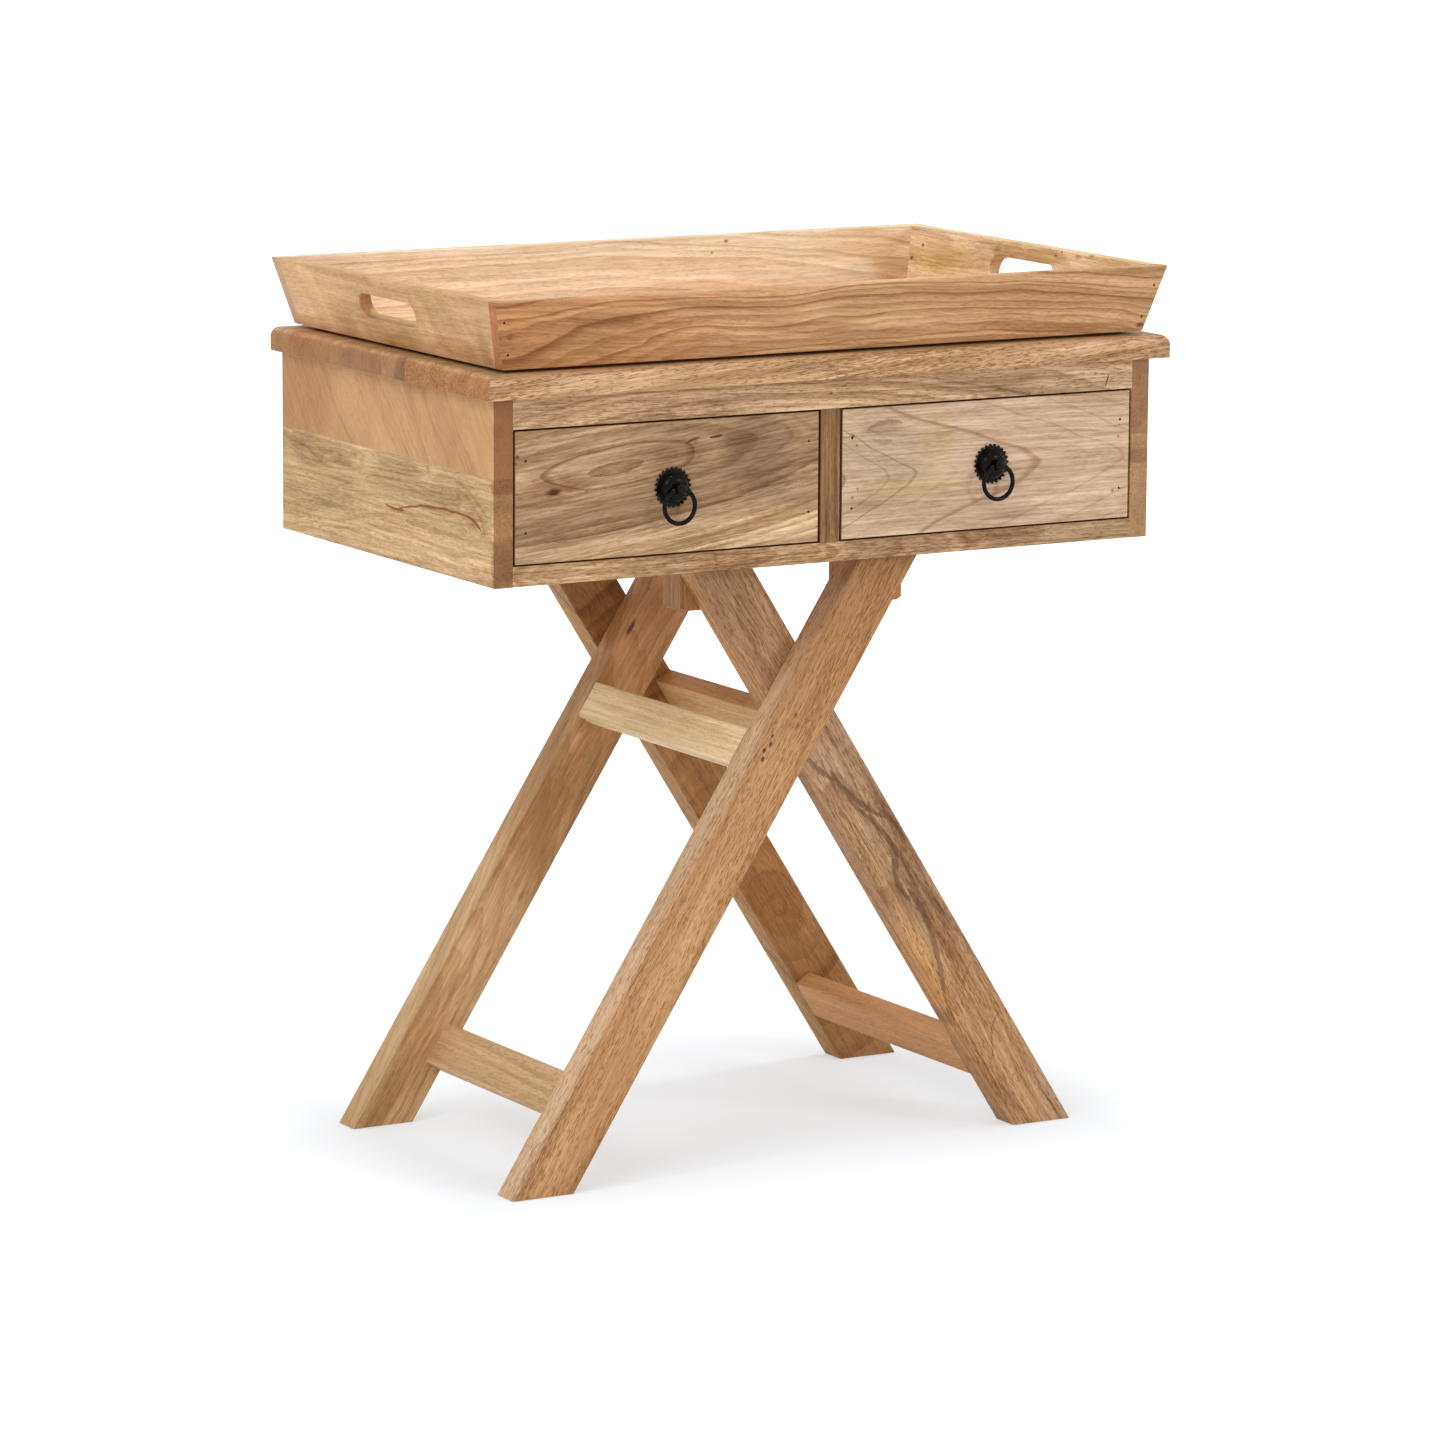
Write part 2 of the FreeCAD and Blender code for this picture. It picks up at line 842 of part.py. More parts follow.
def knob(side):
    """A turned dome on a rim, with a nose that holds the ring, and the threaded stud behind it."""
    start, end = stud_line(side)
    nose_end = nose_reach - rosette_thickness
    nose_round = nose_radius * nose_round_share
    flat_radius = nose_radius - nose_round
    bend = nose_round * math.sin(math.pi / 4)
    dome_middle = vector(
        at_share(nose_radius, dome_radius, dome_middle_shares[0]),
        -at_share(bell_rim_height, dome_height, dome_middle_shares[1]),
        0,
    )
    dome_foot = vector(dome_radius, -bell_rim_height, 0)
    dome_top = vector(nose_radius, -dome_height, 0)
    nose_side = vector(nose_radius, nose_round - nose_end, 0)
    nose_middle = vector(flat_radius + bend, nose_round - nose_end - bend, 0)
    nose_tip = vector(flat_radius, -nose_end, 0)
    tip_middle = vector(0, -nose_end, 0)
    back_middle = vector(0, 0, 0)
    rim = [back_middle, vector(bell_radius, 0, 0), vector(bell_radius, -bell_rim_height, 0), dome_foot]
    edges = [Part.makeLine(first, second) for first, second in zip(rim, rim[1:])]
    edges += [
        Part.Arc(dome_foot, dome_middle, dome_top).toShape(),
        Part.makeLine(dome_top, nose_side),
        Part.Arc(nose_side, nose_middle, nose_tip).toShape(),
        Part.makeLine(nose_tip, tip_middle),
        Part.makeLine(tip_middle, back_middle),
    ]
    turned = Part.Face(Part.Wire(edges)).revolve(vector(0, 0, 0), BACK, 360)
    turned.translate(start)
    axis = vector(start.x, ring_y, pull_height)
    reach = RIGHT * (nose_radius + cut_overrun)
    turned = turned.fuse(rod(start, end, stud_radius))
    return turned.cut(rod(axis - reach, axis + reach, ring_hole_radius))


def pull_nut(side):
    """A washer and a six-sided nut on the stud, inside the drawer."""
    x = pull_x(side)
    corner_radius = nut_flats / 2 / math.cos(math.pi / 6)
    seat = face_back_y + washer_thickness
    points = []
    for number in range(6):
        angle = number * math.pi / 3
        outward = RIGHT * math.cos(angle) + UP * math.sin(angle)
        points.append(vector(x, seat, pull_height) + outward * corner_radius)
    nut = face_of(points).extrude(BACK * nut_thickness)
    washer = rod(vector(x, face_back_y, pull_height), vector(x, seat, pull_height), washer_radius)
    return [drilled(piece, [stud_line(side)], stud_radius) for piece in (washer, nut)]


def pull_ring(side):
    centre = vector(pull_x(side), ring_y, pull_height - ring_mean_radius)
    return Part.makeTorus(ring_mean_radius, ring_wire_radius, centre, BACK)


# Serving tray


def tray_rectangle(height, inset_x, inset_y):
    """The left, front, right and back of the tray's outline at a height, moved in by the insets."""
    lean_in = (tray_top_height - height) * splay_slope
    half_x = tray_top_length / 2 - lean_in - inset_x
    half_y = tray_top_depth / 2 - lean_in - inset_y
    return -half_x, tray_middle_y - half_y, half_x, tray_middle_y + half_y


def level_corners(rectangle, height):
    low_x, front, high_x, back = rectangle
    return [
        vector(low_x, front, height),
        vector(high_x, front, height),
        vector(high_x, back, height),
        vector(low_x, back, height),
    ]


def splayed_block(low_rectangle, low_height, high_rectangle, high_height):
    """A solid with six flat faces between a lower and an upper rectangle."""
    low = level_corners(low_rectangle, low_height)
    high = level_corners(high_rectangle, high_height)
    faces = [face_of(low[::-1]), face_of(high)]
    for number in range(4):
        following = (number + 1) % 4
        faces.append(face_of([low[number], low[following], high[following], high[number]]))
    return Part.Solid(Part.Shell(faces))


def tray_board(trim):
    """A board of the tray, with its outline at top and bottom given by the trim of a rectangle."""
    low = trim(tray_rectangle(tray_boards_underside, 0, 0))
    high = trim(tray_rectangle(tray_top_height, 0, 0))
    return splayed_block(low, tray_boards_underside, high, tray_top_height)


def tray_nails():
    """Nails through the long boards into the ends of the short ones."""
    sink = BACK * (nail_recess + nail_radius * splay_slope)
    shank = BACK * tray_nail_length
    lines = []
    for share in tray_nail_height_shares:
        height = at_share(tray_boards_underside, tray_top_height, share)
        low_x, front, high_x, back = tray_rectangle(height, tray_wall / 2, 0)
        for x in (low_x, high_x):
            front_head = vector(x, front, height) + sink
            back_head = vector(x, back, height) - sink
            lines += [(front_head, front_head + shank), (back_head, back_head - shank)]
    return lines


def long_tray_board(trim, outer_y, inner_y):
    board = tray_board(trim)
    upper = shared_edges(board, (2, tray_top_height), (1, outer_y))
    upper += shared_edges(board, (2, tray_top_height), (1, inner_y))
    board = eased(board, edge_radius, upper, tray_board_thickness)
    return nailed(board, tray_nails())


def tray_front_board():
    outer_y = tray_rectangle(tray_top_height, 0, 0)[1]
    return long_tray_board(lambda r: (r[0], r[1], r[2], r[1] + tray_wall), outer_y, outer_y + tray_wall)


def tray_back_board():
    outer_y = tray_rectangle(tray_top_height, 0, 0)[3]
    return long_tray_board(lambda r: (r[0], r[3] - tray_wall, r[2], r[3]), outer_y, outer_y - tray_wall)


def tray_slot(side):
    """The solid that cuts the handle slot square through an end board."""
    half_length = (slot_length - slot_height) / 2
    radius = slot_height / 2
    reach = tray_board_thickness + cut_overrun
    slot = block((-reach, -half_length, -radius), (reach, half_length, radius))
    for end in (-half_length, half_length):
        slot = slot.fuse(rod(vector(-reach, end, 0), vector(reach, end, 0), radius))
    slot = slot.removeSplitter()
    slot.rotate(vector(0, 0, 0), BACK, side * math.degrees(splay_angle))
    height = tray_top_height - slot_below_top * math.cos(splay_angle)
    edge = tray_rectangle(height, tray_wall / 2, 0)[2]
    slot.translate(vector(side * edge, tray_middle_y, height))
    return slot


def slot_rims(board, side):
    """The edges round both mouths of the handle slot, which lie square to the slot's own direction."""
    across = vector(math.cos(splay_angle), 0, -side * math.sin(splay_angle))
    room = tray_slot(side).BoundBox
    edges = [edge for edge in board.Edges if room.isInside(edge.BoundBox.Center)]
    return [edge for edge in edges if abs(edge.tangentAt(edge.FirstParameter).dot(across)) < match_tolerance]


def tray_end_board(side):
    """A short board with a handle slot, between the long boards."""
    if side == right:
        board = tray_board(lambda r: (r[2] - tray_wall, r[1] + tray_wall, r[2], r[3] - tray_wall))
    else:
        board = tray_board(lambda r: (r[0], r[1] + tray_wall, r[0] + tray_wall, r[3] - tray_wall))
    outer_x = side * tray_top_length / 2
    upper = shared_edges(board, (2, tray_top_height), (0, outer_x))
    upper += shared_edges(board, (2, tray_top_height), (0, outer_x - side * tray_wall))
    board = eased(board, edge_radius, upper, tray_board_thickness)
    board = board.cut(tray_slot(side))
    board = eased(board, edge_radius, slot_rims(board, side), tray_board_thickness)
    return nailed(board, tray_nails())


def tray_floor():
    """The floor of the tray, which fills the space between the boards and stands out under them."""
    high = tray_floor_underside + tray_floor_thickness
    return splayed_block(
        tray_rectangle(tray_floor_underside, tray_wall, tray_wall),
        tray_floor_underside,
        tray_rectangle(high, tray_wall, tray_wall),
        high,
    )


# Nodes by name


def box_nodes():
    nodes = {
        "left_side_upper_board": side_board(left, side_joint_height, box_top_height),
        "left_side_lower_board": side_board(left, box_underside_height, side_joint_height),
        "right_side_upper_board": side_board(right, side_joint_height, box_top_height),
        "right_side_lower_board": side_board(right, box_underside_height, side_joint_height),
        "top_rail": top_rail(),
        "bottom_rail": bottom_rail(),
        "centre_stile": centre_stile(),
        "centre_partition": centre_partition(),
        "back_panel": back_panel(),
        "box_floor": box_floor(),
        "kicker_strips": [kicker(side) for side in (left, right)],
        "drawer_stops": [drawer_stop(side) for side in (left, right)],
        "box_dowels": rods(all_box_dowels(), dowel_radius),
        "top_screws": screws(kicker_screws()),
    }
    nodes.update(top_boards())
    return nodes


def leg_nodes():
    nodes = {
        "bar_dowels": rods(all_bar_dowels(), bar_dowel_radius),
        "crossing_dowels": rods(crossing_dowels(), bar_dowel_radius),
        "block_screws": screws(all_block_screws()),
        "leg_screws": screws(all_leg_screws()),
    }
    for name, foot in (("left_foot", left), ("right_foot", right)):
        nodes[name + "_front_leg"] = leg(foot, False)
        nodes[name + "_rear_leg"] = leg(foot, True)
        nodes[name + "_upper_bar"] = leg_bar(foot, upper_bar_section(), upper_bar_width)
        nodes[name + "_lower_bar"] = leg_bar(foot, lower_bar_section(), lower_bar_width)
        nodes[name + "_front_block"] = leg_block(foot, False)
        nodes[name + "_rear_block"] = leg_block(foot, True)
    return nodes


def drawer_nodes(name, side):
    low, high = face_span(side)
    return {
        name + "_drawer_face": drawer_face(side),
        name + "_drawer_left_side": drawer_side(side, low, 1),
        name + "_drawer_right_side": drawer_side(side, high, -1),
        name + "_drawer_back": drawer_back(side),
        name + "_drawer_bottom": drawer_bottom(side),
        name + "_drawer_nails": rods(face_nails(side) + back_nails(side), nail_radius),
        name + "_pull_rosette": rosette(side),
        name + "_pull_knob": knob(side),
        name + "_pull_nut": pull_nut(side),
        name + "_pull_ring": pull_ring(side),
    }


def tray_nodes():
    return {
        "tray_front_board": tray_front_board(),
        "tray_back_board": tray_back_board(),
        "tray_left_end": tray_end_board(left),
        "tray_right_end": tray_end_board(right),
        "tray_floor": tray_floor(),
        "tray_nails": rods(tray_nails(), nail_radius),
    }


def all_nodes():
    nodes = box_nodes()
    nodes.update(leg_nodes())
    nodes.update(drawer_nodes("left", left))
    nodes.update(drawer_nodes("right", right))
    nodes.update(tray_nodes())
    return nodes


os.makedirs("parts", exist_ok=True)
parts = all_nodes()
for node, shape in parts.items():
    solid = Part.makeCompound(shape) if isinstance(shape, list) else shape
    solid.exportStep("parts/" + node + ".step")
print(len(parts), "nodes, front of the box at", round(front_y, 3))
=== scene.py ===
import math
from dataclasses import dataclass

import bpy
from mathutils import Matrix, Vector

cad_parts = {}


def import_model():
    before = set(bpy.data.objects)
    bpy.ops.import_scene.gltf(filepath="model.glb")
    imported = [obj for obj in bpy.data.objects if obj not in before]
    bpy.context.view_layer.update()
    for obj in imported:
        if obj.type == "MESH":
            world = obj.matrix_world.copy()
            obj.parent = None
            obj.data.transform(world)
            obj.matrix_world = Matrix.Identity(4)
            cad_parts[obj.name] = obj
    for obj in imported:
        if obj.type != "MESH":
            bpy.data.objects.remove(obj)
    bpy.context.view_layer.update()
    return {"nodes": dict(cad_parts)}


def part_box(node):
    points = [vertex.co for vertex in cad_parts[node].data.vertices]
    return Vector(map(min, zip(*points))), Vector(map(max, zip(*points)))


# A side table of light hardwood boards with a loose serving tray, seen from its front left.
# Lengths are metres. Colours are written as 0 to 255 and turned into linear light.
# In order: short ways to build node trees, the groups that make wood, the material of a board, the
# wood of every board, metal, the dressing of all pieces, and the floor, the light and the camera.

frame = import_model()
nodes = frame["nodes"]

X = Vector((1, 0, 0))
Y = Vector((0, 1, 0))
Z = Vector((0, 0, 1))
WHITE = (1.0, 1.0, 1.0, 1.0)


def linear(colour):
    """A written colour as linear red, green, blue and alpha."""
    channels = [c / 255 for c in colour]
    curved = [c / 12.92 if c <= 0.04045 else ((c + 0.055) / 1.055) ** 2.4 for c in channels]
    return (*curved, 1.0)


def multiplied(colour, factors):
    """A linear colour with each channel multiplied, up to 1."""
    return (*[min(c * f, 1.0) for c, f in zip(colour, factors)], 1.0)


# Short ways to build node trees


class Graph:
    """Adds nodes to a node tree and links them. A value is a number, a colour or a node's output."""

    def __init__(self, tree):
        self.tree = tree

    def put(self, socket, value):
        if isinstance(value, bpy.types.NodeSocket):
            self.tree.links.new(value, socket)
        else:
            socket.default_value = value

    def add(self, kind, values=(), **settings):
        node = self.tree.nodes.new(kind)
        for name, value in settings.items():
            setattr(node, name, value)
        for key, value in dict(values).items():
            self.put(node.inputs[key], value)
        return node

    def math(self, operation, *values, clamp=False):
        values = dict(enumerate(values))
        return self.add("ShaderNodeMath", values, operation=operation, use_clamp=clamp).outputs[0]

    def plus(self, first, second):
        return self.math("ADD", first, second)

    def minus(self, first, second):
        return self.math("SUBTRACT", first, second)

    def times(self, first, second):
        return self.math("MULTIPLY", first, second)

    def over(self, first, second):
        return self.math("DIVIDE", first, second)

    def times_plus(self, value, factor, extra):
        return self.math("MULTIPLY_ADD", value, factor, extra)

    def centred(self, noise):
        """A noise of 0 to 1 as -0.5 to 0.5."""
        return self.minus(noise, 0.5)

    def vector(self, operation, *values):
        node = self.add("ShaderNodeVectorMath", dict(enumerate(values)), operation=operation)
        return node.outputs["Value" if operation in ("LENGTH", "DOT_PRODUCT") else "Vector"]

    def split(self, vector):
        node = self.add("ShaderNodeSeparateXYZ", {"Vector": vector})
        return node.outputs["X"], node.outputs["Y"], node.outputs["Z"]

    def join(self, x, y, z=0.0):
        return self.add("ShaderNodeCombineXYZ", {"X": x, "Y": y, "Z": z}).outputs["Vector"]

    def noise(self, place, turns, detail=2.0, roughness=0.5, output="Fac"):
        """A noise in space that varies as often in a metre as turns says for each direction."""
        place = self.vector("MULTIPLY", place, turns)
        values = {"Vector": place, "Scale": 1.0, "Detail": detail, "Roughness": roughness}
        return self.add("ShaderNodeTexNoise", values).outputs[output]

    def line_noise(self, place, detail=1.0):
        """A noise along a single number."""
        values = {"W": place, "Scale": 1.0, "Detail": detail}
        return self.add("ShaderNodeTexNoise", values, noise_dimensions="1D").outputs["Fac"]

    def step(self, value, none, full):
        """0 at none and beyond it, 1 at full and beyond it, smooth between. Either can be the larger."""
        node = self.add("ShaderNodeMapRange", {"Value": value}, interpolation_type="SMOOTHSTEP")
        self.put(node.inputs["From Min"], none)
        self.put(node.inputs["From Max"], full)
        return node.outputs["Result"]

    def mix(self, factor, first, second, blend="MIX"):
        """A colour between two colours. They are sockets 6 and 7 of this node, and output 2."""
        node = self.add("ShaderNodeMix", data_type="RGBA", blend_type=blend)
        self.put(node.inputs[0], factor)
        self.put(node.inputs[6], first)
        self.put(node.inputs[7], second)
        return node.outputs[2]

    def tint(self, factor, colour, tint):
        """A colour multiplied by a tint, as far as the factor says."""
        return self.mix(factor, colour, tint, "MULTIPLY")

    def blend(self, factor, first, second):
        """A number between two numbers. They are sockets 2 and 3 of this node."""
        node = self.add("ShaderNodeMix", {0: factor, 2: first, 3: second}, data_type="FLOAT")
        return node.outputs[0]


def new_group(name, inputs, outputs):
    """An empty node group, as its tree, a graph on it, its input sockets by name and its output node."""
    tree = bpy.data.node_groups.new(name, "ShaderNodeTree")
    for label, kind in inputs:
        tree.interface.new_socket(label, in_out="INPUT", socket_type="NodeSocket" + kind)
    for label, kind in outputs:
        tree.interface.new_socket(label, in_out="OUTPUT", socket_type="NodeSocket" + kind)
    graph = Graph(tree)
    entry = graph.add("NodeGroupInput")
    return tree, graph, {s.name: s for s in entry.outputs}, graph.add("NodeGroupOutput")


def use_group(graph, tree, values):
    """A node that stands for a group, with its inputs set or linked."""
    node = graph.add("ShaderNodeGroup", node_tree=tree)
    for key, value in values.items():
        graph.put(node.inputs[key], value)
    return node


def new_material(name):
    """A material, as itself, a graph on its node tree and its shader."""
    material = bpy.data.materials.new(name)
    material.use_nodes = True
    return material, Graph(material.node_tree), material.node_tree.nodes["Principled BSDF"]


def add_bump(graph, shader, height, strength, distance):
    """Fine relief on a shader's surface, from a height of 0 to 1."""
    bump = graph.add("ShaderNodeBump", {"Height": height})
    bump.inputs["Strength"].default_value = strength
    bump.inputs["Distance"].default_value = distance
    graph.put(shader.inputs["Normal"], bump.outputs["Normal"])


# Wood: knots, marks and zones
# Turns are how often a noise varies in a metre: along the grain, across it and into the board.
# An edge is the two values between which a mask goes from none to full.

KNOT_TURNS = (160, 300, 300)
KNOT_RAGGED = 0.7
KNOT_EDGE = (1.15, 0.35)
KNOT_FALL = 0.12

MARK_WAVE = 0.03
MARK_WAVE_TURNS = 5.0
MARK_WIDTH_TURNS = 11.0
MARK_WIDTH_LEAST = 0.4
MARK_THINNEST = 0.00001

ZONE_TURNS = (9, 70, 70)
ZONE_RAGGED = 1.6
ZONE_EDGE = (1.3, 0.5)

SPOT_INPUTS = [("Place", "Vector"), ("X", "Float"), ("Y", "Float"), ("Wide", "Float"), ("High", "Float")]


def distance_from_spot(g, given):
    """0 in the middle of a spot and 1 on the ellipse of its width and height."""
    x, y, _ = g.split(given["Place"])
    u = g.over(g.minus(x, given["X"]), given["Wide"])
    v = g.over(g.minus(y, given["Y"]), given["High"])
    return g.vector("LENGTH", g.join(u, v))


def knot_group():
    """A knot: it pushes the growth rings aside and darkens its middle."""
    inputs = SPOT_INPUTS + [(name, "Float") for name in ("Depth", "Push", "Swell", "Dark")]
    tree, g, given, result = new_group("knot", inputs, [("Swell", "Float"), ("Dark", "Float")])
    distance = distance_from_spot(g, given)
    ragged = g.centred(g.noise(given["Place"], KNOT_TURNS, detail=1.0))
    edge = g.plus(distance, g.times(ragged, KNOT_RAGGED))
    core = g.times(g.step(edge, *KNOT_EDGE), given["Depth"])
    fall = g.over(1.0, g.times_plus(g.times(distance, distance), KNOT_FALL, 1.0))
    g.put(result.inputs["Swell"], g.times_plus(fall, given["Push"], given["Swell"]))
    g.put(result.inputs["Dark"], g.math("MAXIMUM", core, given["Dark"]))
    return tree


def mark_group():
    """A thin dark streak along the local X axis from 0 to 1, widest in the middle and bowed."""
    inputs = [("Local", "Vector")] + [(name, "Float") for name in ("Bow", "Width", "Depth", "Dark")]
    tree, g, given, result = new_group("mark", inputs, [("Dark", "Float")])
    u, v, _ = g.split(given["Local"])
    hump = g.math("MULTIPLY", g.times(u, 4.0), g.minus(1.0, u), clamp=True)
    wave = g.times(g.centred(g.line_noise(g.times(u, MARK_WAVE_TURNS))), MARK_WAVE)
    middle = g.times_plus(hump, given["Bow"], wave)
    offset = g.math("ABSOLUTE", g.minus(v, middle))
    uneven = g.plus(g.line_noise(g.times(u, MARK_WIDTH_TURNS)), MARK_WIDTH_LEAST)
    width = g.times(g.times(g.math("SQRT", hump), given["Width"]), uneven)
    offset = g.over(offset, g.math("MAXIMUM", width, MARK_THINNEST))
    inside = g.math("SUBTRACT", 1.0, offset, clamp=True)
    dark = g.times(g.math("MULTIPLY", inside, 2.0, clamp=True), given["Depth"])
    g.put(result.inputs["Dark"], g.math("MAXIMUM", dark, given["Dark"]))
    return tree


def zone_group():
    """An area of the board that is another tone, or a painted shadow where a zone stands for one, streaked
    along the grain at its edge.
    """
    inputs = SPOT_INPUTS + [("Tone", "Color"), ("Tint", "Color")]
    tree, g, given, result = new_group("zone", inputs, [("Tint", "Color")])
    ragged = g.centred(g.noise(given["Place"], ZONE_TURNS, detail=3.0, roughness=0.6))
    edge = g.times_plus(ragged, ZONE_RAGGED, distance_from_spot(g, given))
    g.put(result.inputs["Tint"], g.tint(g.step(edge, *ZONE_EDGE), given["Tint"], given["Tone"]))
    return tree


# Wood: growth rings, fibres and pores

SEED_SHIFT = (0.37, 0.73, 0.51)
BEND_TURNS = (3.5, 13, 13)
PATCH_TURNS = (6, 17, 17)
PATCH_EDGE = (0.4, 0.62)

RING_UNEVEN = 2.2
RING_UNEVEN_TURNS = 0.31
LINE_FULL = 0.93
LINE_DROP = 0.94
LINE_FAINTEST = 0.2
BAND_TURNS = 0.42
BAND_SEED = 7.3
BAND_EDGE = (0.36, 0.64)

FIBRE_BEND = 0.6
FIBRE_TURNS = (11, 340, 340)
STREAK_TURNS = (4, 95, 95)
STREAK_DEPTH = 0.8
PORE_TURNS = (130, 1000, 1000)
CROWD_TURNS = (7, 45, 45)
CROWD_DEPTH = 0.35
PORE_EDGE = (0.70, 0.80)
CURL_TURNS = (42, 15, 15)
CURL_SLANT = 0.6

SIDE_FADE = -0.75
FACE_FIBRE = 1.5
RED_SHADE = 0.85
BLUE_SHADE = 1.25

PORE_HEIGHT = -0.8
LINE_HEIGHT = -0.3
KNOT_HEIGHT = -0.6
WOOD_ROUGHNESS = 0.42
FIBRE_ROUGHNESS = 0.16
PORE_ROUGHNESS = 0.12
END_ROUGHNESS = 0.1

TIMBER_NUMBERS = (
    "Seed", "Eye X", "Eye Y", "Stretch", "Arch", "Roundness", "Ring", "Wander", "Lines", "Sharp",
    "Bands", "Fibre", "Pores", "Curl", "Patches", "Swell", "Dark", "End", "Flank",
)
TIMBER_COLOURS = ("Light", "Deep", "Patch", "Line", "End Tint", "Flank Tint", "Knot", "Tint")


def wandering_grain(g, given, spot):
    """How far the grain strays across the board and into it."""
    bend = g.noise(spot, BEND_TURNS, detail=3.0, roughness=0.55, output="Color")
    bend = g.vector("SCALE", g.vector("SUBTRACT", bend, (0.5, 0.5, 0.5)))
    g.put(bend.node.inputs["Scale"], given["Wander"])
    bend_y, bend_z, _ = g.split(bend)
    return bend_y, bend_z


def ring_number(g, given, bend_y, bend_z):
    """Growth rings counted out from the eye, as long ovals, or as arches where Arch is 1."""
    x, y, z = g.split(given["Place"])
    along = g.over(g.minus(x, given["Eye X"]), given["Stretch"])
    depth = g.blend(given["Arch"], along, given["Roundness"])
    depth = g.plus(g.plus(depth, z), bend_z)
    across = g.plus(g.minus(y, given["Eye Y"]), bend_y)
    distance = g.plus(g.vector("LENGTH", g.join(depth, across)), given["Swell"])
    distance = g.times_plus(along, given["Arch"], distance)
    number = g.over(distance, given["Ring"])
    uneven = g.line_noise(g.times_plus(number, RING_UNEVEN_TURNS, given["Seed"]))
    return g.times_plus(uneven, RING_UNEVEN, number)


def ring_lines(g, given, number):
    """A dark line at the end of each ring, some fainter than others."""
    phase = g.math("FRACT", number)
    dice = g.add("ShaderNodeTexWhiteNoise", noise_dimensions="1D")
    g.put(dice.inputs["W"], g.plus(g.math("FLOOR", number), given["Seed"]))
    line = g.times(g.step(phase, given["Sharp"], LINE_FULL), g.step(phase, 1.0, LINE_DROP))
    return g.times(line, g.times_plus(dice.outputs["Value"], 1.0 - LINE_FAINTEST, LINE_FAINTEST))


def ring_bands(g, given, number):
    """Dark bands of a few rings each."""
    place = g.times_plus(number, BAND_TURNS, g.times(given["Seed"], BAND_SEED))
    return g.step(g.line_noise(place, detail=2.0), *BAND_EDGE)


def pore_mask(g, grain, spot):
    """Short open pores, in crowds."""
    crowd = g.noise(spot, CROWD_TURNS)
    pores = g.noise(grain, PORE_TURNS, detail=1.0)
    return g.step(g.times_plus(crowd, CROWD_DEPTH, pores), *PORE_EDGE)


def curl_shade(g, given, shift):
    """Light and dark across the grain, where the fibres wave in and out of the board."""
    x, y, z = g.split(given["Place"])
    slanted = g.join(g.times_plus(y, CURL_SLANT, x), y, z)
    curl = g.noise(g.vector("ADD", slanted, shift), CURL_TURNS)
    return g.times(g.centred(curl), given["Curl"])


def fibre_shade(g, given, fibre, grain):
    """Light and dark along the grain, weaker on the end grain and on the flanks."""
    side = g.math("MAXIMUM", given["End"], given["Flank"])
    strength = g.times(g.times_plus(side, SIDE_FADE, FACE_FIBRE), given["Fibre"])
    streak = g.noise(grain, STREAK_TURNS, detail=3.0, roughness=0.6)
    streak_strength = g.times(g.math("MINIMUM", given["Fibre"], 1.0), STREAK_DEPTH)
    return g.times_plus(g.centred(streak), streak_strength, g.times(g.centred(fibre), strength))


def timber_colour(g, given, bands, patches, line, shade, pores):
    """The wood's two tones with everything that lies over them."""
    long_face = g.times_plus(given["End"], SIDE_FADE, 1.0)
    bands = g.times(bands, g.times(given["Bands"], long_face))
    line = g.times(line, g.times(given["Lines"], long_face))
    shades = g.join(
        g.times_plus(shade, RED_SHADE, 1.0), g.plus(shade, 1.0), g.times_plus(shade, BLUE_SHADE, 1.0)
    )
    colour = g.mix(bands, given["Light"], given["Deep"])
    colour = g.mix(g.times(patches, given["Patches"]), colour, given["Patch"])
    colour = g.tint(1.0, colour, given["Tint"])
    colour = g.tint(line, colour, given["Line"])
    colour = g.tint(1.0, colour, shades)
    colour = g.tint(g.times(pores, given["Pores"]), colour, given["Line"])
    # On some boards the flank and end tints are painted shade in the gaps, and on some legs painted light
    # on the narrow faces.
    colour = g.tint(given["Flank"], colour, given["Flank Tint"])
    colour = g.tint(given["End"], colour, given["End Tint"])
    return g.mix(given["Dark"], colour, given["Knot"])


